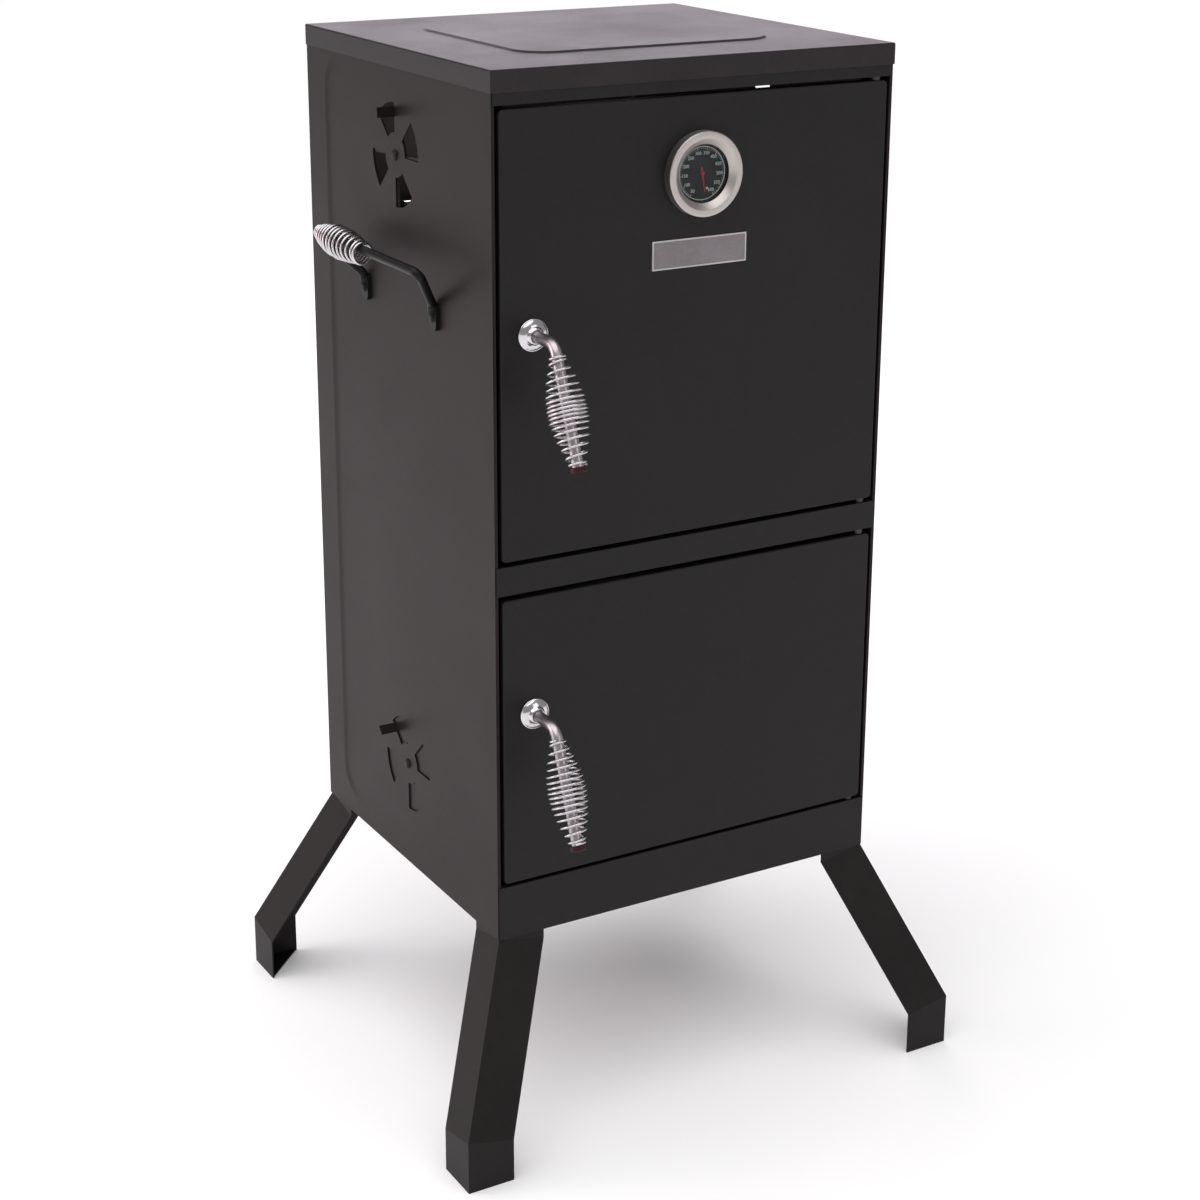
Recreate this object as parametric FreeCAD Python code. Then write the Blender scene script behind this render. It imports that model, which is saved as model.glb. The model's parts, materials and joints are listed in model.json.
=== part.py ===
import FreeCAD, Part
import os
from math import cos, pi, radians, sin, tan

# Vertical water smoker: a sheet-steel cabinet on four splayed legs, with two side-hinged doors,
# sliding damper discs, lift handles, a dial thermometer, cooking grates, a water pan and a charcoal pan.
# Millimetres. X is across (left is -X), Y runs from the doors (y = 0 on their faces) to the back, Z is up
# from the floor. export() moves every piece so that the origin is the middle of the whole footprint.

V = FreeCAD.Vector
UP = V(0, 0, 1)

# ---- overall sizes ----
body_width = 395.0
body_depth = 364.0
body_height = 765.0
leg_drop = 202.0
leg_splay_x = 65.0
leg_splay_y = 63.0
foot_height = 50.0
leg_flange = 45.0
leg_sheet = 1.5
stud_radius = 2.5
stud_length = 9.0
sheet = 1.0

# ---- cover and panels ----
cover_lip = 18.5
cover_overhang = 1.0
cover_edge_radius = 1.5
emboss_rise = 1.5
emboss_slope = 3.0
emboss_radius = 32.0
field_press = 1.5
field_slope = 5.0
cover_emboss_margin = 71.0
side_emboss_front = 42.0
side_emboss_back = 38.0
side_emboss_top = 21.5
side_emboss_bottom = 18.0
back_emboss_margin = 45.0
back_rivet_rows = 6
back_rivet_radius = 1.6
hem_width = 3.0
hem_depth = 19.0
stop_flange = 18.0
inner_flange = 15.0

# ---- front bands and doors ----
top_band_height = 10.0
bottom_band_height = 50.0
rail_height = 25.5
rail_base = 322.5
band_depth = 18.8
door_gap_top = 3.5
door_gap_rail_above = 4.0
door_gap_rail_below = 5.0
door_gap_bottom = 3.0
door_gap_latch = 3.5
door_gap_hinge = 3.0
door_depth = 12.0
door_corner = 4.0
door_edge_radius = 1.2
door_back_lip = 8.0

# ---- hinges ----
hinge_inset = 9.3
hinge_setback = 6.5
pin_radius = 3.0
pin_collar_radius = 5.0
pin_reach = 8.0
pin_head = 2.0
thrust_gap = 0.2
running_gap = 0.05

# ---- door handles ----
handle_inset = 30.0
upper_handle_above_middle = 4.0
lower_handle_above_middle = 25.0
rosette_radius = 14.0
rosette_rise = 8.0
lever_radius = 5.0
lever_stand = 37.5
lever_tilt = 22.5
lever_bend = 14.0
grip_length = 92.0
grip_radius = 17.4
grip_end_radius = 7.2
wire = 2.2
cap_length = 5.0
cap_radius = 7.0
tongue_gap = 1.5
tongue_thickness = 3.0
tongue_width = 12.0
tongue_reach = 22.0
latch_stud_radius = 3.0
latch_nut_width = 10.0
latch_nut_height = 5.0

# ---- thermometer and plate ----
gauge_below_door_top = 65.5
bezel_radius = 36.2
bezel_depth = 10.0
bezel_sheet = 1.1
bezel_flat_inner = 30.0
bezel_opening = 25.0
bezel_cone_depth = 4.0
case_radius = 35.0
case_sheet = 1.2
dial_radius = 33.4
dial_thickness = 0.6
lens_thickness = 1.5
needle_length = 17.0
needle_shaft_radius = 0.8
needle_rest = 10.0
stem_radius = 3.0
stem_length = 60.0
bush_radius = 6.0
bush_length = 9.0
gauge_nut_width = 17.0
gauge_nut_height = 4.0
plate_width = 94.0
plate_height = 25.0
plate_sheet = 1.0
plate_below_gauge = 67.0

# ---- dampers ----
damper_from_front = 183.0
upper_damper_height = 671.0
lower_damper_height = 100.0
wedge_inner = 19.5
wedge_outer = 45.5
wedge_angle = 45.0
wedge_count = 4
disc_radius = 50.5
disc_overlap = 1.0
damper_turn = 41.5
tab_edge = 1.9
tab_inner = 33.0
tab_outer = 42.0
tab_thickness = 1.2
tab_stand = 16.0
rivet_radius = 2.5
rivet_head = 5.0

# ---- lift handles ----
lift_foot_spacing = 137.5
lift_from_middle = 6.0
lift_foot_height = 543.5
lift_rise = 48.5
lift_stand = 33.0
lift_overreach = 39.0
lift_rod_radius = 4.0
lift_bend = 5.5
paddle_width = 13.0
paddle_height = 24.0
paddle_thickness = 4.0
lift_grip_length = 95.0
lift_grip_radius = 14.8
lift_grip_end_radius = 7.5
screw_radius = 2.5

# ---- inside ----
ledge_width = 32.0
ledge_height = 12.0
ledge_length = 320.0
ledge_sheet = 1.2
grate_heights = [600.0, 700.0, 800.0]
grate_width = 346.0
grate_depth = 300.0
grate_rim_radius = 3.0
grate_bar_radius = 2.0
grate_bars = 19
pan_width = 346.0
pan_depth = 300.0
pan_rim = 14.0
pan_sheet = 1.2
pan_taper = 14.0
water_pan_rim_height = 500.0
water_pan_depth = 62.0
charcoal_pan_rim_height = 366.0
charcoal_pan_depth = 78.0
charcoal_grate_above_bottom = 22.0

# ---- places that follow from the sizes ----
side = body_width / 2
base = leg_drop
top = leg_drop + body_height
inner_side = side - sheet
door_left = -side + hem_width + door_gap_latch
door_right = side - hem_width - door_gap_hinge
door_middle = (door_left + door_right) / 2
band_bottom = top - cover_lip - top_band_height
rail_bottom = base + rail_base
rail_top = rail_bottom + rail_height
lower_band_top = base + bottom_band_height
upper_door_z = (rail_top + door_gap_rail_above, band_bottom - door_gap_top)
lower_door_z = (lower_band_top + door_gap_bottom, rail_bottom - door_gap_rail_below)
hinge_x = door_right - hinge_inset
handle_x = door_left + handle_inset
upper_handle_z = sum(upper_door_z) / 2 + upper_handle_above_middle
lower_handle_z = sum(lower_door_z) / 2 + lower_handle_above_middle
gauge_z = upper_door_z[1] - gauge_below_door_top
tongue_y = sheet + hem_depth + tongue_gap
field_face = side - field_press
lift_straight_z = base + lift_foot_height + lift_rise
lever_foot = lever_bend * tan(radians(90 - lever_tilt) / 2)
lever_end = lever_foot + grip_length + cap_length / 2
handle_reach = (lever_stand + (lever_foot + grip_length + cap_length) * sin(radians(lever_tilt))
                + grip_end_radius * cos(radians(lever_tilt)))
leg_rear_face = body_depth - 2 * sheet
to_origin = V(0, (handle_reach - leg_rear_face - leg_splay_y) / 2, 0)


# ---- helpers ----
def box(x0, x1, y0, y1, z0, z1):
    return Part.makeBox(x1 - x0, y1 - y0, z1 - z0, V(x0, y0, z0))


def rod(start, direction, length, radius):
    return Part.makeCylinder(radius, length, start, direction)


def join(shapes):
    return shapes[0].fuse(shapes[1:]).removeSplitter() if len(shapes) > 1 else shapes[0]


def mirrored(shape):
    return shape.mirror(V(0, 0, 0), V(1, 0, 0))


def turned(shape, centre, axis, degrees):
    copy = shape.copy()
    copy.rotate(centre, axis, degrees)
    return copy


def rounded_outline(width, height, radius, z=0.0):
    """A rounded rectangle about the origin, in the plane at height z."""
    w, h, r = width / 2, height / 2, radius
    edges = []
    corners = [(w - r, h - r, 0), (-w + r, h - r, 90), (-w + r, -h + r, 180), (w - r, -h + r, 270)]
    for i, (x, y, a) in enumerate(corners):
        at = [V(x + r * cos(radians(a + d)), y + r * sin(radians(a + d)), z) for d in (0, 45, 90)]
        edges.append(Part.Arc(*at).toShape())
        nx, ny, na = corners[(i + 1) % 4]
        edges.append(Part.LineSegment(at[2], V(nx + r * cos(radians(na)), ny + r * sin(radians(na)), z)).toShape())
    return Part.Wire(edges)


def slab(width, height, radius, thickness):
    return Part.Face(rounded_outline(width, height, radius)).extrude(UP * thickness)


def frustum(width, height, radius, rise, slope):
    """A raised field whose sides lean in by the slope over its rise."""
    low = rounded_outline(width, height, radius)
    high = rounded_outline(width - 2 * slope, height - 2 * slope, radius - slope, rise)
    return Part.makeLoft([low, high], True, True)


def placed(shape, centre, x_axis, y_axis):
    """Puts a shape drawn about the origin at the centre, with its X and Y along two given directions."""
    z_axis = x_axis.cross(y_axis)
    m = FreeCAD.Matrix(x_axis.x, y_axis.x, z_axis.x, centre.x, x_axis.y, y_axis.y, z_axis.y, centre.y,
                       x_axis.z, y_axis.z, z_axis.z, centre.z, 0, 0, 0, 1)
    copy = shape.copy()
    copy.Placement = FreeCAD.Placement(m)
    return copy


def pressed(panel, width, height, centre, x_axis, y_axis):
    """Presses a sunk field into a flat panel; the centre is on its outer face."""
    field = frustum(width, height, emboss_radius, field_press, field_slope)
    normal = x_axis.cross(y_axis)
    inner = placed(field, centre - normal * sheet, x_axis * -1, y_axis)
    outer = placed(field, centre, x_axis * -1, y_axis)
    return panel.fuse(inner).cut(outer)


def emboss(panel, width, height, centre, x_axis, y_axis):
    """Presses a raised field into a flat panel; the centre is on its outer face."""
    field = frustum(width, height, emboss_radius, emboss_rise, emboss_slope)
    normal = x_axis.cross(y_axis)
    outer = placed(field, centre, x_axis, y_axis)
    inner = placed(field, centre - normal * sheet, x_axis, y_axis)
    return panel.fuse(outer).cut(inner)


def bent_path(points, bend):
    """Straight runs through the points, with an arc of the bend radius at each inner point."""
    edges = []
    start = points[0]
    for before, corner, after in zip(points, points[1:], points[2:]):
        into = (corner - before).normalize()
        out = (after - corner).normalize()
        turn = into.getAngle(out)
        cut = bend * tan(turn / 2)
        first = corner - into * cut
        last = corner + out * cut
        middle = corner + (out - into).normalize() * (bend / cos(turn / 2) - bend)
        edges.append(Part.LineSegment(start, first).toShape())
        edges.append(Part.Arc(first, middle, last).toShape())
        start = last
    edges.append(Part.LineSegment(start, points[-1]).toShape())
    return Part.Wire(edges)


def bent_rod(points, bend, radius):
    section = Part.Wire(Part.Circle(points[0], points[1] - points[0], radius).toShape())
    return bent_path(points, bend).makePipeShell([section], True, True)


def revolved(outline, centre, axis, across):
    """Turns an outline of (radius, height) points about an axis through the centre."""
    points = [centre + across * r + axis * h for r, h in outline]
    face = Part.Face(Part.makePolygon(points + points[:1]))
    return face.revolve(centre, axis, 360)


def barrel(start, axis, across, length, bore, end_radius, middle_radius):
    """The sleeve that a coil wound of wire fills: snug end turns and a swelling middle."""
    def at(r, h):
        return start + across * r + axis * h
    half = length / 2
    edges = [
        Part.LineSegment(at(bore, 0), at(end_radius, 0)).toShape(),
        Part.LineSegment(at(end_radius, 0), at(end_radius, wire)).toShape(),
        Part.Arc(at(end_radius, wire), at(middle_radius, half), at(end_radius, length - wire)).toShape(),
        Part.LineSegment(at(end_radius, length - wire), at(end_radius, length)).toShape(),
        Part.LineSegment(at(end_radius, length), at(bore, length)).toShape(),
        Part.LineSegment(at(bore, length), at(bore, length - wire)).toShape(),
        Part.Arc(at(bore, length - wire), at(middle_radius - wire, half), at(bore, wire)).toShape(),
        Part.LineSegment(at(bore, wire), at(bore, 0)).toShape(),
    ]
    return Part.Face(Part.Wire(edges)).revolve(start, axis, 360)


def hexagon(centre, axis, across, width, height):
    side_on = axis.cross(across)
    reach = width / 3 ** 0.5
    points = [centre + across * reach * cos(i * pi / 3) + side_on * reach * sin(i * pi / 3) for i in range(7)]
    return Part.Face(Part.makePolygon(points)).extrude(axis * height)


def dome_head(centre, axis, across, radius, rise):
    """A round head with a crowned top that ends in a small flat."""
    edge = centre + across * radius
    crown = centre + axis * rise
    flat = crown + across * radius * 0.25
    shoulder = centre + across * radius * 0.8 + axis * rise * 0.67
    outline = Part.Wire([Part.LineSegment(centre, edge).toShape(), Part.Arc(edge, shoulder, flat).toShape(),
                         Part.LineSegment(flat, crown).toShape(), Part.LineSegment(crown, centre).toShape()])
    return Part.Face(outline).revolve(centre, axis, 360)


def export(node, shape):
    shape = shape.copy()
    shape.translate(to_origin)
    shape.exportStep("parts/" + node + ".step")
    print(node, len(shape.Solids), "solids", "valid" if shape.isValid() else "NOT VALID", round(shape.Volume))


# ---- cabinet ----
def top_cover():
    """The lid sheet: a shallow pan turned over the cabinet, with a raised field on top."""
    reach = side + cover_overhang
    front, back = -cover_overhang, body_depth + cover_overhang
    shell = box(-reach, reach, front, back, top - cover_lip, top)
    outer = [e for e in shell.Edges if e.BoundBox.ZMax > top - 0.1]
    shell = shell.makeFillet(cover_edge_radius, outer)
    shell = shell.cut(box(-side, side, 0, body_depth, top - cover_lip - 1, top - sheet))
    width = body_width - 2 * cover_emboss_margin
    depth = body_depth - 2 * cover_emboss_margin
    return emboss(shell, width, depth, V(0, body_depth / 2, top), V(1, 0, 0), V(0, 1, 0))


def wedge(angle, width, inner, outer, x0, x1, z_centre):
    """A ring sector across X, its leading edge at the angle, measured from straight up towards the doors."""
    def at(r, a):
        return V(x0, damper_from_front - r * sin(radians(a)), z_centre + r * cos(radians(a)))
    end = angle + width
    middle = angle + width / 2
    edges = [Part.Arc(at(inner, angle), at(inner, middle), at(inner, end)).toShape(),
             Part.LineSegment(at(inner, end), at(outer, end)).toShape(),
             Part.Arc(at(outer, end), at(outer, middle), at(outer, angle)).toShape(),
             Part.LineSegment(at(outer, angle), at(inner, angle)).toShape()]
    return Part.Face(Part.Wire(edges)).extrude(V(x1 - x0, 0, 0))


def damper_heights():
    return {"upper": base + upper_damper_height, "lower": base + lower_damper_height}


def side_panel():
    """The left side: wall, sunk field, folded front hem with its door stop, and inward flanges."""
    back = body_depth - sheet
    wall = box(-side, -inner_side, sheet, back, base, top - sheet)
    hem = -side + hem_width
    low = lower_band_top + thrust_gap
    high = top - 2 * sheet
    folds = [
        box(-side, hem, sheet, 2 * sheet, low, high),
        box(hem - sheet, hem, sheet, sheet + hem_depth, low, high),
        box(hem - sheet, hem + stop_flange, hem_depth, sheet + hem_depth, low, high),
        box(-side, -inner_side + inner_flange, back - sheet, back, base, top - sheet),
        box(-side, -inner_side + inner_flange, 3 * sheet + hem_depth, back, top - 2 * sheet, top - sheet),
        box(-side, -inner_side + inner_flange, leg_flange + 5, body_depth - leg_flange - 5, base, base + sheet),
    ]
    panel = join([wall] + folds)
    width = body_depth - side_emboss_front - side_emboss_back
    height = body_height - side_emboss_top - side_emboss_bottom
    centre = V(-side, side_emboss_front + width / 2, base + side_emboss_bottom + height / 2)
    panel = pressed(panel, width, height, centre, V(0, -1, 0), UP)
    for z in damper_heights().values():
        for i in range(wedge_count):
            angle = i * 360 / wedge_count - wedge_angle
            panel = panel.cut(wedge(angle, wedge_angle, wedge_inner, wedge_outer, -side - 5, -side + 5, z))
        panel = panel.cut(rod(V(-side - 5, damper_from_front, z), V(1, 0, 0), 10, rivet_radius))
    for y in lift_feet():
        panel = panel.cut(rod(V(-side - 5, y, base + lift_foot_height), V(1, 0, 0), 10, screw_radius))
    return panel


def back_panel():
    back = body_depth
    panel = box(-side, side, back - sheet, back, base, top - sheet)
    width = body_width - 2 * back_emboss_margin
    height = body_height - 2 * back_emboss_margin
    centre = V(0, back, base + body_height / 2)
    return emboss(panel, width, height, centre, V(-1, 0, 0), UP)


def floor_panel():
    gap = leg_sheet + 0.5
    rim = 12.0
    low = base + sheet
    x = inner_side - gap
    y0, y1 = sheet + gap, body_depth - 2 * sheet - gap
    tray = box(-x, x, y0, y1, low, low + rim)
    return tray.cut(box(-x + sheet, x - sheet, y0 + sheet, y1 - sheet, low + sheet, low + rim + 1))


def pin_hole(z0, z1, radius):
    return rod(V(hinge_x, hinge_setback, z0), UP, z1 - z0, radius)


def front_channel(z0, z1, low_reach):
    """A face strip lapped over both side hems, with a flange turned back along its top and bottom."""
    reach = side - sheet
    flange = side - hem_width - 0.5
    face = box(-reach, reach, 0, sheet, z0, z1)
    low = box(-low_reach, low_reach, 0, band_depth, z0, z0 + sheet)
    high = box(-flange, flange, 0, band_depth, z1 - sheet, z1)
    return join([face, low, high])


def upper_front_band():
    band = front_channel(band_bottom, top - 1.5 * sheet, side - hem_width - 0.5)
    return band.cut(pin_hole(band_bottom - 1, band_bottom + 2 * sheet, pin_radius))


def middle_rail():
    rail = front_channel(rail_bottom, rail_top, side - hem_width - 0.5)
    return rail.cut(pin_hole(rail_bottom - 1, rail_top + 1, pin_radius))


def lower_front_band():
    band = front_channel(base, lower_band_top, inner_side - leg_flange - 3)
    return band.cut(pin_hole(lower_band_top - 2 * sheet, lower_band_top + 1, pin_radius))


# ---- legs ----
leg_tab = bottom_band_height - 5.0
leg_tab_notch = 12.0


def leg():
    """Front left leg: an L of folded sheet, upright in the cabinet's corner, splayed, then upright at the foot."""
    corner = V(-inner_side, sheet, base)
    knee = V(-inner_side - leg_splay_x, sheet - leg_splay_y, foot_height)
    run = (knee - corner)
    tilt = run.normalize() + V(0, 0, -1)

    def on_mitre(origin, x, y):
        return origin + V(x, y, -(x * tilt.x + y * tilt.y) / tilt.z)

    def section(origin):
        f, t = leg_flange, leg_sheet
        ends = [(0, 0), (f, 0), (f, t), (t, t), (t, f), (0, f), (0, 0)]
        return Part.Face(Part.makePolygon([on_mitre(origin, x, y) for x, y in ends]))

    shank = section(corner).extrude(knee_vector())
    tab = section(corner).extrude(UP * (leg_tab + leg_flange / 2))
    tab = tab.cut(box(-side - 100, side, -100, body_depth, base + leg_tab, base + leg_tab + 100))
    clear = sheet + leg_flange - leg_tab_notch
    tab = tab.cut(box(-side, -inner_side + leg_sheet + 1, clear, body_depth, base + side_emboss_bottom - 2, top))
    foot = section(knee).extrude(V(0, 0, -2 * foot_height))
    foot = foot.cut(box(-side - 200, side, -200, body_depth, -200, 0))
    triangle = [V(knee.x, knee.y, 0), V(knee.x + leg_flange, knee.y, 0), V(knee.x, knee.y + leg_flange, 0)]
    plate = Part.Face(Part.makePolygon(triangle + triangle[:1])).extrude(UP * leg_sheet)
    shape = join([tab, shank, foot, plate])
    for at, axis in leg_bolt_places():
        shape = shape.cut(rod(at - axis, axis, 5, stud_radius))
    return shape


def knee_vector():
    return V(-leg_splay_x, -leg_splay_y, foot_height - base)


def leg_bolt_places():
    """Where the front left leg's two weld studs start on the cabinet's inner faces, and which way they point."""
    z = base + 30.0
    return [(V(-inner_side, sheet + leg_flange * 0.6, z), V(1, 0, 0)),
            (V(-inner_side + inner_flange * 0.6, sheet, z), V(0, 1, 0))]


def all_corners(shape):
    """The front left shape and its three mirror images, front to back about the cabinet's middle."""
    middle = V(0, (sheet + leg_rear_face) / 2, 0)
    rear = shape.mirror(middle, V(0, 1, 0))
    return {"front_left": shape, "front_right": mirrored(shape), "rear_left": rear, "rear_right": mirrored(rear)}


# ---- doors ----
def door(z0, z1):
    """A pan pressed from one sheet: face, four returned edges and a narrow lip round its back."""
    width, height = door_right - door_left, z1 - z0
    centre = V(door_middle, door_depth, (z0 + z1) / 2)
    pan = slab(width, height, door_corner, door_depth)
    front = [e for e in pan.Edges if e.BoundBox.ZMin > door_depth - 0.1]
    pan = pan.makeFillet(door_edge_radius, front)
    hollow = slab(width - 2 * sheet, height - 2 * sheet, door_corner - sheet, door_depth - 2 * sheet)
    hollow.translate(V(0, 0, sheet))
    window = slab(width - 2 * door_back_lip, height - 2 * door_back_lip, door_corner, sheet * 3)
    window.translate(V(0, 0, -sheet))
    pan = pan.cut(hollow).cut(window)
    shape = placed(pan, centre, V(1, 0, 0), UP)
    holes = pin_hole(z0 - 1, z1 + 1, pin_radius + running_gap)
    return shape.cut(holes)


def upper_door():
    shape = door(*upper_door_z)
    shape = shape.cut(rod(V(door_middle, -5, gauge_z), V(0, 1, 0), 10, bush_radius + 0.2))
    return shape.cut(lever_hole(upper_handle_z))


def lower_door():
    return door(*lower_door_z).cut(lever_hole(lower_handle_z))


def lever_hole(z):
    return rod(V(handle_x, -5, z), V(0, 1, 0), 10, lever_radius + 0.5)


def hinge_pin(face_z, up, gap):
    """A pin riveted in a band's flange: face_z is the flange's door side, and the door's edge is a gap away."""
    at = V(hinge_x, hinge_setback, face_z)
    into_door = UP * up
    shank = rod(at - into_door * (sheet + pin_head), into_door, sheet + pin_head + gap + pin_reach, pin_radius)
    collar = rod(at, into_door, gap - thrust_gap, pin_collar_radius)
    head = rod(at - into_door * (sheet + pin_head), into_door, pin_head, pin_collar_radius)
    return join([shank, collar, head])


def hinge_pins():
    return Part.makeCompound([
        hinge_pin(band_bottom, -1, door_gap_top),
        hinge_pin(rail_top, 1, door_gap_rail_above),
        hinge_pin(rail_bottom, -1, door_gap_rail_below),
        hinge_pin(lower_band_top, 1, door_gap_bottom),
    ])


# ---- door handles ----
def rosette(z):
    centre = V(handle_x, 0, z)
    head = dome_head(centre, V(0, -1, 0), V(1, 0, 0), rosette_radius, rosette_rise)
    return head.cut(rod(centre + V(0, 5, 0), V(0, -1, 0), rosette_rise + 10, lever_radius + running_gap))


def lever_points(z):
    corner = V(handle_x, -lever_stand, z)
    return [V(handle_x, tongue_y, z), corner, corner + grip_direction() * lever_end]


def grip_direction():
    return V(0, -sin(radians(lever_tilt)), -cos(radians(lever_tilt)))


def lever(z):
    """A round bar through the door: bent down outside, and turned down inside to a stud for the tongue."""
    bar = bent_rod(lever_points(z), lever_bend, lever_radius)
    stud = rod(V(handle_x, tongue_y, z), V(0, 1, 0), tongue_thickness + latch_nut_height + 2, latch_stud_radius)
    return join([bar, stud])


def grip(z):
    start = V(handle_x, -lever_stand, z) + grip_direction() * lever_foot
    return barrel(start, grip_direction(), V(1, 0, 0), grip_length, lever_radius, grip_end_radius, grip_radius)


def grip_cap(z):
    """A plug cup over the bar's end, against the last turn of the coil."""
    start = V(handle_x, -lever_stand, z) + grip_direction() * (lever_foot + grip_length)
    cup = rod(start, grip_direction(), cap_length, cap_radius)
    return cup.cut(rod(start, grip_direction(), cap_length / 2, lever_radius))


def latch_tongue(z):
    """A flat bar on the lever's stud: it stands up at rest and swings over behind the door stop."""
    half = tongue_width / 2
    bar = box(handle_x - half, handle_x + half, tongue_y, tongue_y + tongue_thickness, z, z + tongue_reach)
    eye = rod(V(handle_x, tongue_y, z), V(0, 1, 0), tongue_thickness, half)
    return join([bar, eye]).cut(rod(V(handle_x, tongue_y - 1, z), V(0, 1, 0), 10, latch_stud_radius))


def latch_nut(z):
    at = V(handle_x, tongue_y + tongue_thickness, z)
    nut = hexagon(at, V(0, 1, 0), UP, latch_nut_width, latch_nut_height)
    return nut.cut(rod(at, V(0, 1, 0), latch_nut_height, latch_stud_radius))


# ---- thermometer ----
OUT = V(0, -1, 0)
ACROSS = V(1, 0, 0)
gauge_centre = V(door_middle, 0, gauge_z)
lens_front = bezel_depth - bezel_cone_depth - bezel_sheet
lens_back = lens_front - lens_thickness


def thermometer_bezel():
    d, t, r = bezel_depth, bezel_sheet, bezel_radius
    outline = [(r, 0.5), (r, d - 1), (r - 1, d), (bezel_flat_inner, d), (bezel_opening, d - bezel_cone_depth),
               (bezel_opening, lens_front), (bezel_opening + t, lens_front), (bezel_flat_inner + 0.5, d - t),
               (r - t, d - t), (r - t, 0.5)]
    return revolved(outline, gauge_centre, OUT, ACROSS)


def thermometer_case():
    """A cup against the door's face, with the threaded bush on its back going through the door."""
    r, t = case_radius, case_sheet
    outline = [(needle_shaft_radius + 0.4, 0), (r, 0), (r, lens_back), (r - t, lens_back), (r - t, t),
               (needle_shaft_radius + 0.4, t)]
    cup = revolved(outline, gauge_centre, OUT, ACROSS)
    bush = rod(gauge_centre, -OUT, bush_length, bush_radius)
    return join([cup, bush]).cut(rod(gauge_centre, -OUT, bush_length, stem_radius))


def thermometer_stem():
    stem = rod(gauge_centre, -OUT, stem_length, stem_radius)
    return stem.cut(rod(gauge_centre, -OUT, 8, needle_shaft_radius + running_gap))


def thermometer_dial():
    at = gauge_centre + OUT * case_sheet
    return rod(at, OUT, dial_thickness, dial_radius).cut(rod(at, OUT, 5, needle_shaft_radius + 0.3))


def thermometer_lens():
    return rod(gauge_centre + OUT * lens_back, OUT, lens_thickness, case_radius - 0.3)


def thermometer_needle():
    """A thin pointer on its shaft, pointing down at the cold end of the scale."""
    lift = case_sheet + dial_thickness + 0.4
    shaft = rod(gauge_centre - OUT * 6, OUT, 6 + lift + 0.6, needle_shaft_radius)
    hub = rod(gauge_centre + OUT * lift, OUT, 0.6, 2.2)
    tail, half = 5.0, 0.9
    at = gauge_centre + OUT * lift
    outline = [V(-half, 0, tail), V(half, 0, tail), V(half, 0, 0), V(0.3, 0, -needle_length),
               V(-0.3, 0, -needle_length), V(-half, 0, 0), V(-half, 0, tail)]
    pointer = Part.Face(Part.makePolygon([at + p for p in outline])).extrude(OUT * 0.4)
    return join([shaft, hub, pointer])


def thermometer_nut():
    at = gauge_centre + V(0, sheet, 0)
    nut = hexagon(at, -OUT, UP, gauge_nut_width, gauge_nut_height)
    return nut.cut(rod(at, -OUT, gauge_nut_height, bush_radius))


def name_plate():
    """A blank pressed plate with a raised border."""
    centre = V(door_middle, 0, gauge_z - plate_below_gauge)
    plate = slab(plate_width, plate_height, 0.8, plate_sheet)
    recess = slab(plate_width - 2.4, plate_height - 2.4, 0.4, plate_sheet)
    recess.translate(UP * (plate_sheet * 0.7))
    return placed(plate.cut(recess), centre, V(1, 0, 0), UP)


# ---- dampers ----
disc_face = field_face - sheet - 0.4


def damper_disc(z, turn):
    """The inner disc with its four openings and the tab that stands out through the panel; turn 0 is shut."""
    axis = V(1, 0, 0)
    centre = V(-disc_face, damper_from_front, z)
    disc = rod(centre, axis, sheet, disc_radius)
    for i in range(wedge_count):
        angle = i * 360 / wedge_count + disc_overlap
        width = 360 / wedge_count - wedge_angle - 2 * disc_overlap
        disc = disc.cut(wedge(angle, width, wedge_inner, wedge_outer, -disc_face - 5, -disc_face + 5, z))
    out = -field_face - tab_stand
    tab = box(out, -disc_face + sheet / 2, damper_from_front - tab_thickness / 2,
              damper_from_front + tab_thickness / 2, z + tab_inner, z + tab_outer)
    tab = turned(tab, centre, axis, -wedge_angle + tab_edge)
    disc = join([disc, tab]).cut(rod(centre - axis, axis, 5, rivet_radius + running_gap))
    return turned(disc, centre, axis, turn)


def damper_rivet(z):
    """A rivet through the panel and the disc, with a crowned head outside and a washer head inside."""
    axis = V(1, 0, 0)
    outside = V(-field_face, damper_from_front, z)
    inside = V(-disc_face + sheet + 0.3, damper_from_front, z)
    shank = rod(outside, axis, (inside - outside).Length, rivet_radius)
    head = dome_head(outside, -axis, UP, rivet_head, 2.5)
    tail = rod(inside, axis, 1.5, rivet_head)
    return join([shank, head, tail])


# ---- lift handles ----
def lift_feet():
    middle = body_depth / 2 - lift_from_middle
    return [middle - lift_foot_spacing / 2, middle + lift_foot_spacing / 2]


def lift_ends():
    front, rear = lift_feet()
    return front - lift_overreach, rear + lift_overreach


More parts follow.
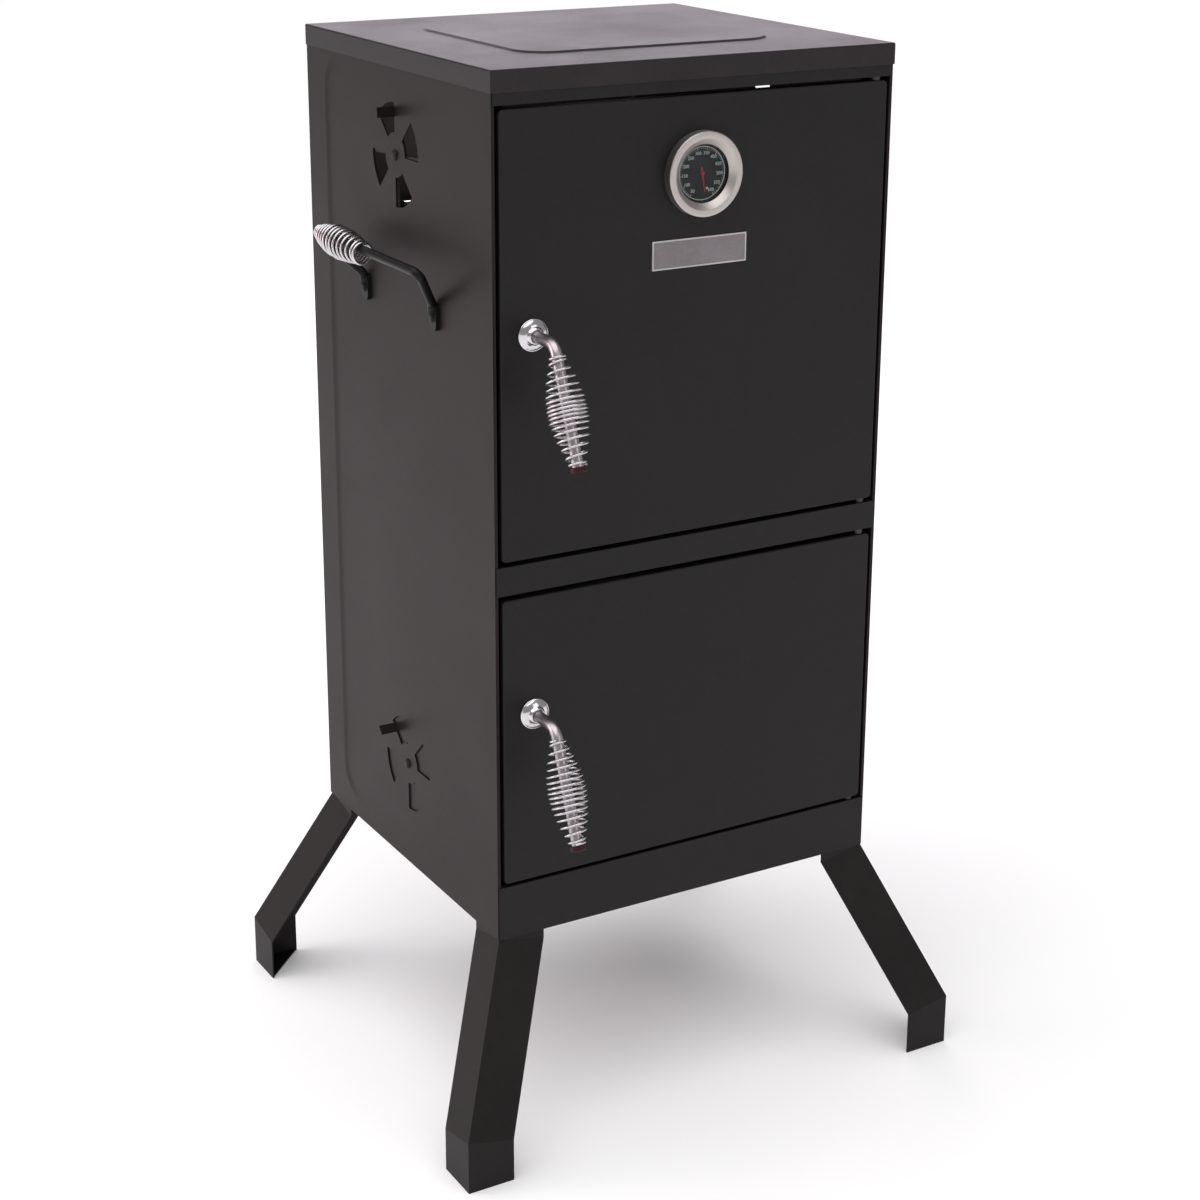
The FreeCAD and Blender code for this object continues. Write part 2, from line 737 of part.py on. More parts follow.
def lift_handle():
    """The left lift handle: one bent bar with flattened feet."""
    x_foot = -field_face - paddle_thickness
    x_bar = -side - lift_stand
    z_foot = base + lift_foot_height
    (front, rear), (bar_front, bar_rear) = lift_feet(), lift_ends()
    neck = z_foot + paddle_height / 2
    points = [V(x_foot, front, z_foot + 3), V(x_foot, front, neck), V(x_bar, bar_front, lift_straight_z),
              V(x_bar, bar_rear, lift_straight_z), V(x_foot, rear, neck), V(x_foot, rear, z_foot + 3)]
    bar = bent_rod(points, lift_bend, lift_rod_radius)
    pieces = [bar]
    for y in (front, rear):
        paddle = slab(paddle_width, paddle_height, paddle_width / 2 - 0.5, paddle_thickness)
        pieces.append(placed(paddle, V(-field_face, y, z_foot), V(0, -1, 0), UP))
    handle = join(pieces)
    for y in (front, rear):
        handle = handle.cut(rod(V(x_foot - 20, y, z_foot), V(1, 0, 0), 40, screw_radius))
        handle = handle.cut(rod(V(x_foot - 20, y, z_foot), V(1, 0, 0), 20, screw_radius + 2.5))
    return handle


def lift_bar_straight():
    """The stretch of the lift bar between its bends, as its front and rear y."""
    (front, rear), (bar_front, bar_rear) = lift_feet(), lift_ends()
    neck = base + lift_foot_height + paddle_height / 2
    leg_run = V(-field_face - paddle_thickness + side + lift_stand, front - bar_front, neck - lift_straight_z)
    turn = V(0, -1, 0).getAngle(leg_run)
    cut = lift_bend * tan(turn / 2)
    return bar_front + cut, bar_rear - cut


def lift_grip():
    front, rear = lift_bar_straight()
    start = V(-side - lift_stand, rear, lift_straight_z)
    bore = lift_rod_radius + running_gap
    return barrel(start, V(0, -1, 0), V(1, 0, 0), lift_grip_length, bore, lift_grip_end_radius, lift_grip_radius)


def lift_screws():
    """Pan head screws through the flattened feet, each with a nut inside the panel."""
    made = []
    axis = V(1, 0, 0)
    for y in lift_feet():
        z = base + lift_foot_height
        head_at = V(-field_face - paddle_thickness, y, z)
        screw = join([rod(head_at, axis, 12, screw_radius), dome_head(head_at, -axis, UP, screw_radius + 2, 2.5)])
        nut_at = V(-field_face + sheet, y, z)
        nut = hexagon(nut_at, axis, UP, 8, 4).cut(rod(nut_at, axis, 4, screw_radius))
        made += [screw, nut]
    return made


# ---- inside ----
def ledge(z):
    """A left ledge: an angle strip along the side wall that a grate or a pan rests on."""
    y0 = (body_depth + hem_depth - ledge_length) / 2
    y1 = y0 + ledge_length
    x0 = -inner_side + field_press
    flat = box(x0, x0 + ledge_width, y0, y1, z - ledge_sheet, z)
    upright = box(x0, x0 + ledge_sheet, y0, y1, z - ledge_height, z)
    return join([flat, upright])


def ledge_heights():
    return [z - grate_rim_radius for z in grate_heights] + [water_pan_rim_height, charcoal_pan_rim_height]


def cooking_grate(z):
    """A wire grate: a rim of thick wire, two cross bars under it and thin bars from front to back."""
    y0 = (body_depth + hem_depth - grate_depth) / 2
    y1 = y0 + grate_depth
    x = grate_width / 2 - grate_rim_radius
    a, b = y0 + grate_rim_radius, y1 - grate_rim_radius
    corner = 18.0
    outline = rounded_outline(2 * x, b - a, corner, 0)
    outline.translate(V(0, (a + b) / 2, z))
    start = V(x, (a + b) / 2, z)
    section = Part.Wire(Part.Circle(V(x, b - corner, z), V(0, 1, 0), grate_rim_radius).toShape())
    rim = outline.makePipeShell([section], True, True)
    pitch = 2 * x / (grate_bars + 1)
    bars = [rod(V(-x + pitch * (i + 1), a, z), V(0, 1, 0), b - a, grate_bar_radius) for i in range(grate_bars)]
    low = z - grate_rim_radius + grate_bar_radius
    cross = [rod(V(-x, a + (b - a) * share, low), V(1, 0, 0), 2 * x, grate_bar_radius) for share in (0.3, 0.7)]
    return join([rim] + bars + cross)


def pan(rim_z, depth):
    """An open pan with leaning sides, hanging by its flat rim."""
    y = (body_depth + hem_depth) / 2
    w, d, t = pan_width - 2 * pan_rim, pan_depth - 2 * pan_rim, pan_sheet
    corner = 20.0

    def tub(grow, low, high):
        wide = rounded_outline(w + grow, d + grow, corner, high)
        narrow = rounded_outline(w + grow - 2 * pan_taper, d + grow - 2 * pan_taper, corner, low)
        return Part.makeLoft([narrow, wide], True, True)

    outer = tub(2 * t, -depth, 0)
    rim = slab(pan_width, pan_depth, corner + 4, t)
    inner = tub(0, -depth + t, t)
    shape = outer.fuse(rim).cut(inner)
    shape.translate(V(0, y, rim_z))
    return shape


def charcoal_grate():
    """A flat grid of bars standing on short feet in the charcoal pan."""
    y = (body_depth + hem_depth) / 2
    z = charcoal_pan_rim_height - charcoal_pan_depth + charcoal_grate_above_bottom
    w = pan_width - 2 * pan_rim - 2 * pan_taper - 12
    d = pan_depth - 2 * pan_rim - 2 * pan_taper - 12
    r = grate_bar_radius
    count = 13
    bars = [rod(V(-w / 2 + w * i / (count - 1), y - d / 2, z), V(0, 1, 0), d, r) for i in range(count)]
    over = 3 * r
    cross = [rod(V(-w / 2 - over, y + d * share, z), V(1, 0, 0), w + 2 * over, r * 1.25) for share in (-0.4, 0, 0.4)]
    floor = charcoal_pan_rim_height - charcoal_pan_depth + pan_sheet
    feet = [rod(V(w * a, y + d * b, floor), UP, z - floor, r * 1.6) for a in (-0.5, 0.5) for b in (-0.4, 0.4)]
    return join(bars + cross + feet)


def rivet_places():
    """The rivets that hold the back panel to the side panels' flanges."""
    span = body_height - 120
    return [V(x, body_depth, base + 60 + span * i / (back_rivet_rows - 1))
            for x in (-side + 8, side - 8) for i in range(back_rivet_rows)]


def back_rivets():
    made = []
    for at in rivet_places():
        into = V(0, -1, 0)
        shank = rod(at, into, 2 * sheet, back_rivet_radius)
        head = dome_head(at, V(0, 1, 0), V(1, 0, 0), 2 * back_rivet_radius, 1.2)
        tail = rod(at + into * 2 * sheet, into, 1.0, 1.6 * back_rivet_radius)
        made.append(join([shank, head, tail]))
    return Part.makeCompound(made)


def with_rivet_holes(shape):
    for at in rivet_places():
        shape = shape.cut(rod(at + V(0, 1, 0), V(0, -1, 0), 4, back_rivet_radius))
    return shape


def leg_studs():
    made = []
    for at, axis in leg_bolt_places():
        made += all_corners(rod(at, axis, stud_length, stud_radius)).values()
    return Part.makeCompound(made)


def leg_nuts():
    made = []
    for at, axis in leg_bolt_places():
        seat = at + axis * leg_sheet
        nut = hexagon(seat, axis, UP, 8, 4).cut(rod(seat, axis, 4, stud_radius))
        made += all_corners(nut).values()
    return Part.makeCompound(made)


def both_sides(shapes):
    return Part.makeCompound(shapes + [mirrored(shape) for shape in shapes])


# ---- write every node ----
os.makedirs("parts", exist_ok=True)

export("top_cover", top_cover())
left_side = side_panel()
export("left_side_panel", with_rivet_holes(left_side))
export("right_side_panel", with_rivet_holes(mirrored(left_side)))
export("back_panel", with_rivet_holes(back_panel()))
export("floor_panel", floor_panel())
export("upper_front_band", upper_front_band())
export("middle_rail", middle_rail())
export("lower_front_band", lower_front_band())
export("back_rivets", back_rivets())

for place, shape in all_corners(leg()).items():
    export(place + "_leg", shape)
export("leg_studs", leg_studs())
export("leg_nuts", leg_nuts())

export("upper_door", upper_door())
export("lower_door", lower_door())
export("hinge_pins", hinge_pins())
for place, z in (("upper", upper_handle_z), ("lower", lower_handle_z)):
    export(place + "_door_rosette", rosette(z))
    export(place + "_door_lever", lever(z))
    export(place + "_door_grip", grip(z))
    export(place + "_grip_cap", grip_cap(z))
    export(place + "_latch_tongue", latch_tongue(z))
    export(place + "_latch_nut", latch_nut(z))

export("thermometer_case", thermometer_case())
export("thermometer_bezel", thermometer_bezel())
export("thermometer_dial", thermometer_dial())
export("thermometer_lens", thermometer_lens())
export("thermometer_needle", turned(thermometer_needle(), gauge_centre, OUT, needle_rest))
export("thermometer_stem", thermometer_stem())
export("thermometer_nut", thermometer_nut())
export("name_plate", name_plate())

turns = {"upper": damper_turn, "lower": 0.0}
for place, z in damper_heights().items():
    disc = damper_disc(z, turns[place])
    export("left_" + place + "_damper", disc)
    export("right_" + place + "_damper", mirrored(disc))
export("damper_rivets", both_sides([damper_rivet(z) for z in damper_heights().values()]))

export("left_lift_handle", lift_handle())
export("right_lift_handle", mirrored(lift_handle()))
export("left_lift_grip", lift_grip())
export("right_lift_grip", mirrored(lift_grip()))
export("lift_handle_screws", both_sides(lift_screws()))

ledges = Part.makeCompound([ledge(z) for z in ledge_heights()])
export("left_ledges", ledges)
export("right_ledges", mirrored(ledges))
for place, z in zip(("lower", "middle", "upper"), grate_heights):
    export(place + "_grate", cooking_grate(z))
export("water_pan", pan(water_pan_rim_height, water_pan_depth))
export("charcoal_pan", pan(charcoal_pan_rim_height, charcoal_pan_depth))
export("charcoal_grate", charcoal_grate())
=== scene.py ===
"""Looks of the vertical water smoker: painted cabinet, plated handles, wire grips and a dial thermometer."""
import json
import math

import bmesh
import bpy
from mathutils import Matrix, Vector


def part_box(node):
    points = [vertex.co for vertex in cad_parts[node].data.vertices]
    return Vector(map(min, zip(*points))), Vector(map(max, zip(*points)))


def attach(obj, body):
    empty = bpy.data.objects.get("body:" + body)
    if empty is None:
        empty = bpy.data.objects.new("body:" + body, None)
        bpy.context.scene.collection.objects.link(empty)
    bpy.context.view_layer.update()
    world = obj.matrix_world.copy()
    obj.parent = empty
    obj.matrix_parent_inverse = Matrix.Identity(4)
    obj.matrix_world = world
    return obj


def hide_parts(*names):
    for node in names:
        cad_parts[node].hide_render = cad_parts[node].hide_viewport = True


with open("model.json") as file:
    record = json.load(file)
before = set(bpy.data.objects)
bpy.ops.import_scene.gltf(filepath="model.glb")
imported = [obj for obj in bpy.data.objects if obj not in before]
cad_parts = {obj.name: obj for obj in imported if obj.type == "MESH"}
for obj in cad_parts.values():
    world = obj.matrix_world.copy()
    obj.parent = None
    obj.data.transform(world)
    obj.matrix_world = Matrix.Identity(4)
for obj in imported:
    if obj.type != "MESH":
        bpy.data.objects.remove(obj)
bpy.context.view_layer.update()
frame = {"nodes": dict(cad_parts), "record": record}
NODES = frame["nodes"]
RECORD = frame["record"]
BODY_OF = {node: body for body, nodes in RECORD["behaviour"]["bodies"].items() for node in nodes}
SLOT_OF = {part["node"]: part["material_slot"] for part in RECORD["subparts"]}
MM = 0.001
X, Y, Z = Vector((1, 0, 0)), Vector((0, 1, 0)), Vector((0, 0, 1))

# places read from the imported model
back_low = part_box("back_panel")[0]
door_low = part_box("upper_door")[0]
front_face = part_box("upper_front_band")[0].y
bezel_low, bezel_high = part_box("thermometer_bezel")
gauge = Vector(((bezel_low.x + bezel_high.x) / 2, door_low.y, (bezel_low.z + bezel_high.z) / 2))


# ---- node wiring ----
class Net:
    """Short words for adding and joining the nodes of one tree."""

    def __init__(self, tree):
        self.tree = tree

    def add(self, kind, **settings):
        node = self.tree.nodes.new(kind)
        for key, value in settings.items():
            setattr(node, key, value)
        return node

    def feed(self, socket, value):
        if isinstance(value, bpy.types.NodeSocket):
            self.tree.links.new(value, socket)
        else:
            socket.default_value = value

    def node(self, kind, feeds, **settings):
        node = self.add(kind, **settings)
        for name, value in feeds.items():
            self.feed(node.inputs[name], value)
        return node

    def shape(self, kind, feeds, **settings):
        """The first output of a geometry node."""
        return self.node(kind, feeds, **settings).outputs[0]

    def xyz(self, **parts):
        """A vector put together from its X, Y and Z."""
        return self.node("ShaderNodeCombineXYZ", parts).outputs[0]

    def math(self, operation, *values):
        node = self.add("ShaderNodeMath", operation=operation)
        for i, value in enumerate(values):
            self.feed(node.inputs[i], value)
        return node.outputs[0]

    def weighted(self, first, first_share, second, second_share):
        """The sum of two values, each times its own share."""
        parts = [self.math("MULTIPLY", *pair) for pair in ((first, first_share), (second, second_share))]
        return self.math("ADD", *parts)

    def vector(self, operation, *values):
        node = self.add("ShaderNodeVectorMath", operation=operation)
        for i, value in enumerate(values):
            self.feed(node.inputs[i], value)
        return node.outputs["Value" if operation in ("LENGTH", "DOT_PRODUCT") else "Vector"]

    def noise(self, vector, scale, detail=2.0, rough=0.5):
        feeds = {"Vector": vector, "Scale": scale, "Detail": detail, "Roughness": rough}
        return self.node("ShaderNodeTexNoise", feeds).outputs["Fac"]

    def remap(self, value, low, high, to_low, to_high):
        node = self.node("ShaderNodeMapRange", {0: value, 1: low, 2: high, 3: to_low, 4: to_high})
        return node.outputs[0]

    def blend(self, share, first, second):
        node = self.add("ShaderNodeMix", data_type="RGBA")
        self.feed(node.inputs["Factor"], share)
        self.feed(node.inputs[6], first)
        self.feed(node.inputs[7], second)
        return node.outputs[2]


# ---- camera and light ----
def put_in_scene(name, data, matrix):
    """A new object for a camera or a lamp, linked where the matrix puts it."""
    thing = bpy.data.objects.new(name, data)
    thing.matrix_world = matrix
    bpy.context.collection.objects.link(thing)
    return thing


def make_camera():
    """Looks down at the front and the left side, placed from the cabinet's lower front left corner."""
    corner = Vector((back_low.x, front_face, back_low.z))
    from_corner = Vector((-0.878, -1.6866, 1.0134))
    yaw, pitch, roll = 0.5327, 0.3092, 0.0068
    forward = Vector((math.sin(yaw) * math.cos(pitch), math.cos(yaw) * math.cos(pitch), -math.sin(pitch)))
    level = Vector((math.cos(yaw), -math.sin(yaw), 0))
    upright = level.cross(forward)
    right = level * math.cos(roll) + upright * math.sin(roll)
    up = upright * math.cos(roll) - level * math.sin(roll)
    data = bpy.data.cameras.new("view_camera")
    data.sensor_width = 36.0
    data.lens = 71.74
    data.shift_x, data.shift_y = -0.0125, -0.08
    data.clip_end = 50
    place = Matrix.Translation(corner + from_corner) @ Matrix((right, up, -forward)).transposed().to_4x4()
    bpy.context.scene.camera = put_in_scene("view_camera", data, place)


def soft_box(name, place, aim, width, height, watts, colour):
    """A rectangular area lamp that faces its aim."""
    data = bpy.data.lights.new(name, "AREA")
    data.shape = "RECTANGLE"
    data.size, data.size_y = width, height
    data.energy = watts
    data.color = colour
    turn = (aim - place).to_track_quat("-Z", "Y").to_matrix().to_4x4()
    put_in_scene(name, data, Matrix.Translation(place) @ turn)


def make_lamps():
    """Soft boxes to the left, behind and in front, a wide light overhead and a weak lamp in each chamber."""
    soft_box("left_soft_box", Vector((-2.5, 1.0, 1.15)), Vector((0, 0, 0.75)), 1.4, 1.4, 22, (1, 0.84, 0.84))
    soft_box("back_soft_box", Vector((1.6, 3.6, 1.9)), Vector((0, 0, 0.97)), 2.6, 1.6, 22, (1, 0.9, 1))
    sky = bpy.data.lights.new("overhead_light", "SUN")
    sky.energy = 2.4
    sky.angle = math.radians(80)
    put_in_scene("overhead_light", sky, Vector((-0.25, -0.1, 1)).to_track_quat("Z", "Y").to_matrix().to_4x4())
    soft_box("front_soft_box", Vector((1.2, -3.4, 2.0)), Vector((0, 0, 0.55)), 1.6, 1.6, 12, (1, 1, 1))
    for height in (0.42, 0.84):
        inner = bpy.data.lights.new("inner_fill", "POINT")
        inner.energy = 0.5
        inner.shadow_soft_size = 0.05
        put_in_scene("inner_fill", inner, Matrix.Translation((0, 0, height)))


def make_air():
    """Dim light from all round, and plain white where the camera looks past the object."""
    world = bpy.data.worlds.new("studio_air")
    world.use_nodes = True
    world.node_tree.nodes.clear()
    net = Net(world.node_tree)
    path = net.add("ShaderNodeLightPath")
    lit = net.node("ShaderNodeBackground", {"Color": (1.0, 0.97, 0.98, 1), "Strength": 0.32})
    seen = net.node("ShaderNodeBackground", {"Color": (1, 1, 1, 1), "Strength": 1.0})
    feeds = {"Fac": path.outputs["Is Camera Ray"], 1: lit.outputs[0], 2: seen.outputs[0]}
    mix = net.node("ShaderNodeMixShader", feeds)
    net.node("ShaderNodeOutputWorld", {"Surface": mix.outputs[0]})
    bpy.context.scene.world = world
    bpy.context.scene.view_settings.view_transform = "Standard"


# ---- shared surface effects ----
def shader_group(name, inputs, outputs):
    """A shader node group with its named sockets: the tree's net, its input node and its output node."""
    tree = bpy.data.node_groups.new(name, "ShaderNodeTree")
    for label, kind, value in inputs:
        made = tree.interface.new_socket(label, in_out="INPUT", socket_type=kind)
        if value is not None:
            made.default_value = value
    for label, kind in outputs:
        tree.interface.new_socket(label, in_out="OUTPUT", socket_type=kind)
    net = Net(tree)
    return net, net.add("NodeGroupInput"), net.add("NodeGroupOutput")


FLOAT, VECTOR = "NodeSocketFloat", "NodeSocketVector"


def make_sprayed_grain():
    """Powder paint: a fine orange-peel relief with slow drifts of tone."""
    net, given, out = shader_group(
        "sprayed_grain", [("Place", VECTOR, None), ("Grain per Metre", FLOAT, 900.0)],
        [("Height", FLOAT), ("Tone", FLOAT), ("Dull", FLOAT)])
    place, grain = given.outputs["Place"], given.outputs["Grain per Metre"]
    fine = net.noise(place, grain, 3.0, 0.6)
    pits = net.node("ShaderNodeTexVoronoi", {"Vector": place, "Scale": net.math("MULTIPLY", grain, 0.55)},
                    feature="SMOOTH_F1").outputs["Distance"]
    height = net.weighted(fine, 0.7, pits, 0.5)
    drift = net.noise(place, 9.0, 4.0, 0.55)
    speck = net.noise(place, net.math("MULTIPLY", grain, 0.35), 2.0, 0.5)
    net.feed(out.inputs["Height"], height)
    net.feed(out.inputs["Tone"], net.weighted(drift, 0.6, speck, 0.4))
    net.feed(out.inputs["Dull"], net.weighted(drift, 0.5, fine, 0.5))
    return net.tree


def make_handling_marks():
    """Faint scuffs and finger marks: a mask of thin drawn-out strokes and soft blotches."""
    net, given, out = shader_group(
        "handling_marks", [("Place", VECTOR, None), ("Marks per Metre", FLOAT, 40.0)], [("Mask", FLOAT)])
    place, scale = given.outputs["Place"], given.outputs["Marks per Metre"]
    drawn = net.vector("MULTIPLY", place, (1.0, 1.0, 0.12))
    stroke = net.noise(drawn, net.math("MULTIPLY", scale, 6.0), 2.0, 0.7)
    blotch = net.noise(place, scale, 5.0, 0.65)
    strokes = net.remap(stroke, 0.62, 0.78, 0.0, 1.0)
    blotches = net.remap(blotch, 0.5, 0.72, 0.0, 1.0)
    both = net.weighted(strokes, 0.5, blotches, 0.6)
    net.feed(out.inputs["Mask"], net.math("MINIMUM", both, 1.0))
    return net.tree


def make_turned_lines():
    """Fine rings left by turning, about an axis along Y through the Centre."""
    net, given, out = shader_group("turned_lines", [
        ("Place", VECTOR, None), ("Centre", VECTOR, None), ("Lines per Metre", FLOAT, 2500.0)],
        [("Height", FLOAT), ("Tone", FLOAT)])
    offset = net.vector("SUBTRACT", given.outputs["Place"], given.outputs["Centre"])
    from_centre = net.vector("MULTIPLY", offset, (1, 0.35, 1))
    radius = net.vector("LENGTH", from_centre)
    parts = net.node("ShaderNodeSeparateXYZ", {0: from_centre})
    bearing = net.math("ARCTAN2", parts.outputs["Z"], parts.outputs["X"])
    along = net.xyz(X=net.math("MULTIPLY", radius, given.outputs["Lines per Metre"]),
                    Y=net.math("MULTIPLY", net.math("SINE", bearing), 1.6),
                    Z=net.math("MULTIPLY", net.math("COSINE", bearing), 1.6))
    rings = net.noise(along, 1.0, 3.0, 0.7)
    slow = net.noise(along, 0.35, 2.0, 0.5)
    net.feed(out.inputs["Height"], rings)
    net.feed(out.inputs["Tone"], net.weighted(rings, 0.5, slow, 0.5))
    return net.tree


GRAIN, MARKS, LINES = make_sprayed_grain(), make_handling_marks(), make_turned_lines()


# ---- finishes ----
def start_material(name):
    """A new material: itself, its net, its main shader, and the place of each point on the piece."""
    material = bpy.data.materials.new(name)
    material.use_nodes = True
    tree = material.node_tree
    tree.nodes.clear()
    net = Net(tree)
    shader = net.add("ShaderNodeBsdfPrincipled")
    out = net.add("ShaderNodeOutputMaterial")
    tree.links.new(shader.outputs[0], out.inputs["Surface"])
    place = net.add("ShaderNodeTexCoord").outputs["Object"]
    return material, net, shader, place


def use_group(net, tree, feeds):
    """A shared effect put into a material, its named inputs fed."""
    node = net.add("ShaderNodeGroup")
    node.node_tree = tree
    for name, value in feeds.items():
        net.feed(node.inputs[name], value)
    return node


def shade_of(colour, share=1.0):
    """A colour times a share, with its alpha."""
    return tuple(share * c for c in colour) + (1,)


def add_relief(net, shader, height, strength, distance):
    """Lets a height roughen the finish."""
    bump = net.node("ShaderNodeBump", {"Height": height, "Strength": strength, "Distance": distance})
    net.feed(shader.inputs["Normal"], bump.outputs[0])


def paint(name, dark, light, rough, grain=900.0, relief=0.12, marks=0.25, sheen=0.2, tint=(1.0, 0.96, 0.97)):
    """Satin sprayed enamel with an orange-peel relief, slow tone drifts and faint handling marks."""
    material, net, shader, place = start_material(name)
    shader.inputs["Specular IOR Level"].default_value = sheen
    shader.inputs["Specular Tint"].default_value = shade_of(tint)
    skin = use_group(net, GRAIN, {"Place": place, "Grain per Metre": grain})
    scuff = use_group(net, MARKS, {"Place": place, "Marks per Metre": 14.0}).outputs["Mask"]
    share = net.remap(skin.outputs["Tone"], 0.35, 0.65, 0.0, 1.0)
    colour = net.blend(share, shade_of(dark), shade_of(light))
    worn = net.math("MULTIPLY", scuff, marks)
    net.feed(shader.inputs["Base Color"], net.blend(worn, colour, shade_of(light, 2.2)))
    dull = net.remap(skin.outputs["Dull"], 0.3, 0.7, rough - 0.06, rough + 0.06)
    net.feed(shader.inputs["Roughness"], net.math("ADD", dull, net.math("MULTIPLY", scuff, 0.06)))
    add_relief(net, shader, skin.outputs["Height"], relief, 0.0004)
    return material


def plating(name, tint, rough, marks=0.5):
    """Bright plated steel with faint smears."""
    material, net, shader, place = start_material(name)
    shader.inputs["Metallic"].default_value = 1.0
    scuff = use_group(net, MARKS, {"Place": place, "Marks per Metre": 90.0})
    smear = net.math("MULTIPLY", scuff.outputs["Mask"], marks)
    net.feed(shader.inputs["Base Color"], net.blend(smear, shade_of(tint), shade_of(tint, 0.8)))
    net.feed(shader.inputs["Roughness"], net.remap(smear, 0.0, 1.0, rough, rough + 0.18))
    add_relief(net, shader, net.noise(place, 260.0, 2.0, 0.5), 0.05, 0.0004)
    return material


def turned_steel(name, tint, rough, centre):
    """Stainless sheet with the fine rings of a lathe or a brush about its centre."""
    material, net, shader, place = start_material(name)
    shader.inputs["Metallic"].default_value = 1.0
    rings = use_group(net, LINES, {"Place": place, "Centre": centre})
    scuff = use_group(net, MARKS, {"Place": place, "Marks per Metre": 60.0})
    bright = net.remap(rings.outputs["Tone"], 0.3, 0.7, 0.0, 1.0)
    tone = net.blend(bright, shade_of(tint, 0.82), shade_of(tint))
    worn = net.math("MULTIPLY", scuff.outputs["Mask"], 0.25)
    net.feed(shader.inputs["Base Color"], net.blend(worn, tone, shade_of(tint, 0.6)))
    dull = net.remap(rings.outputs["Tone"], 0.3, 0.7, rough - 0.05, rough + 0.07)
    net.feed(shader.inputs["Roughness"], dull)
    add_relief(net, shader, rings.outputs["Height"], 0.2, 0.0002)
    return material


def clear_glass(name):
    """Thin clear glass with faint smears."""
    material, net, shader, place = start_material(name)
    shader.inputs["Transmission Weight"].default_value = 1.0
    shader.inputs["IOR"].default_value = 1.16
    shader.inputs["Base Color"].default_value = (0.96, 0.98, 0.98, 1)
    scuff = use_group(net, MARKS, {"Place": place, "Marks per Metre": 120.0})
    net.feed(shader.inputs["Roughness"], net.remap(scuff.outputs["Mask"], 0.0, 1.0, 0.01, 0.06))
    return material


def pale_floor(name):
    """A matt studio floor, lifted a little so that it stays near white."""
    material, net, shader, place = start_material(name)
    cloud = net.noise(place, 1.2, 3.0, 0.5)
    net.feed(shader.inputs["Base Color"], net.blend(cloud, (0.86, 0.86, 0.87, 1), (0.9, 0.9, 0.9, 1)))
    shader.inputs["Roughness"].default_value = 0.8
    shader.inputs["Emission Color"].default_value = (1, 1, 1, 1)
    shader.inputs["Emission Strength"].default_value = 0.12
    return material


CABINET_PAINT = paint("cabinet_black_paint", (0.011, 0.0086, 0.0087), (0.015, 0.0117, 0.0119), 0.42,
                      sheen=0.14, tint=(1.0, 0.82, 0.82))
COVER_PAINT = paint("cover_black_paint", (0.0165, 0.0145, 0.0155), (0.0215, 0.019, 0.02), 0.4,
                    tint=(1.0, 0.9, 0.94))
DOOR_PAINT = paint("door_black_paint", (0.0085, 0.0078, 0.0082), (0.0115, 0.0106, 0.011), 0.44,
                   relief=0.1, marks=0.15)
LEG_PAINT = paint("leg_black_paint", (0.0105, 0.0092, 0.0094), (0.0145, 0.0127, 0.013), 0.46,
                  sheen=0.14, tint=(1.0, 0.9, 0.9))
BAR_PAINT = paint("bar_black_enamel", (0.006, 0.006, 0.0063), (0.009, 0.009, 0.009), 0.36,
                  1400.0, 0.05, sheen=0.15)
PAN_ENAMEL = paint("pan_enamel", (0.008, 0.008, 0.009), (0.012, 0.012, 0.013), 0.16, 700.0, 0.05, sheen=0.5)
CHROME = plating("handle_chrome", (0.66, 0.64, 0.66), 0.16)
COIL_WIRE = plating("coil_wire", (0.60, 0.57, 0.59), 0.26)
LEVER_STEEL = plating("lever_steel", (0.46, 0.42, 0.44), 0.34)
GRATE_PLATING = plating("grate_plating", (0.70, 0.69, 0.68), 0.2)
ZINC = plating("zinc_plating", (0.62, 0.62, 0.60), 0.3)
PIN_STEEL = plating("pin_steel", (0.07, 0.065, 0.065), 0.45)
BEZEL_STEEL = turned_steel("bezel_steel", (0.55, 0.51, 0.49), 0.4, gauge)
PLATE_GREY = paint("plate_grey", (0.17, 0.15, 0.16), (0.21, 0.188, 0.198), 0.4, 1500.0, 0.05)
PLATE_EDGE = paint("plate_edge", (0.42, 0.4, 0.41), (0.5, 0.48, 0.49), 0.35, 1500.0, 0.03)
DIAL_BLACK = paint("dial_black", (0.010, 0.012, 0.0125), (0.014, 0.016, 0.0165), 0.5, 3000.0, 0.03)
DIAL_PRINT = paint("dial_print", (0.42, 0.43, 0.44), (0.55, 0.56, 0.57), 0.5, 3000.0, 0.02)
MARK_GREEN = paint("mark_green", (0.45, 0.5, 0.28), (0.55, 0.58, 0.35), 0.5, 3000.0, 0.02)
NEEDLE_RED = paint("needle_red", (0.24, 0.02, 0.018), (0.33, 0.03, 0.025), 0.35, 3000.0, 0.02)
CAP_RED = paint("cap_dark_red", (0.022, 0.006, 0.007), (0.036, 0.008, 0.009), 0.4, 1500.0, 0.04)
GLASS = clear_glass("lens_glass")
FINISH = {"cabinet_paint": CABINET_PAINT, "door_paint": DOOR_PAINT, "leg_paint": LEG_PAINT,
          "bar_paint": BAR_PAINT, "chrome": CHROME, "zinc": ZINC, "bezel_steel": BEZEL_STEEL,
          "plate_metal": PLATE_GREY, "dial_black": DIAL_BLACK, "needle_red": NEEDLE_RED, "lens": GLASS,
          "cap_red": CAP_RED, "grate_plating": GRATE_PLATING, "enamel": PAN_ENAMEL}


# ---- making pieces ----
def add_piece(name, mesh, materials, node=None, body=None):
    """Links a finished mesh as a piece; where a CAD node is named it takes that node's place."""
    mesh.name = name
    piece = bpy.data.objects.new(name, mesh)
    bpy.context.collection.objects.link(piece)
    mesh.materials.clear()
    for material in materials:
        mesh.materials.append(material)
    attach(piece, body or BODY_OF[node])
    if node:
        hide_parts(node)
    return piece


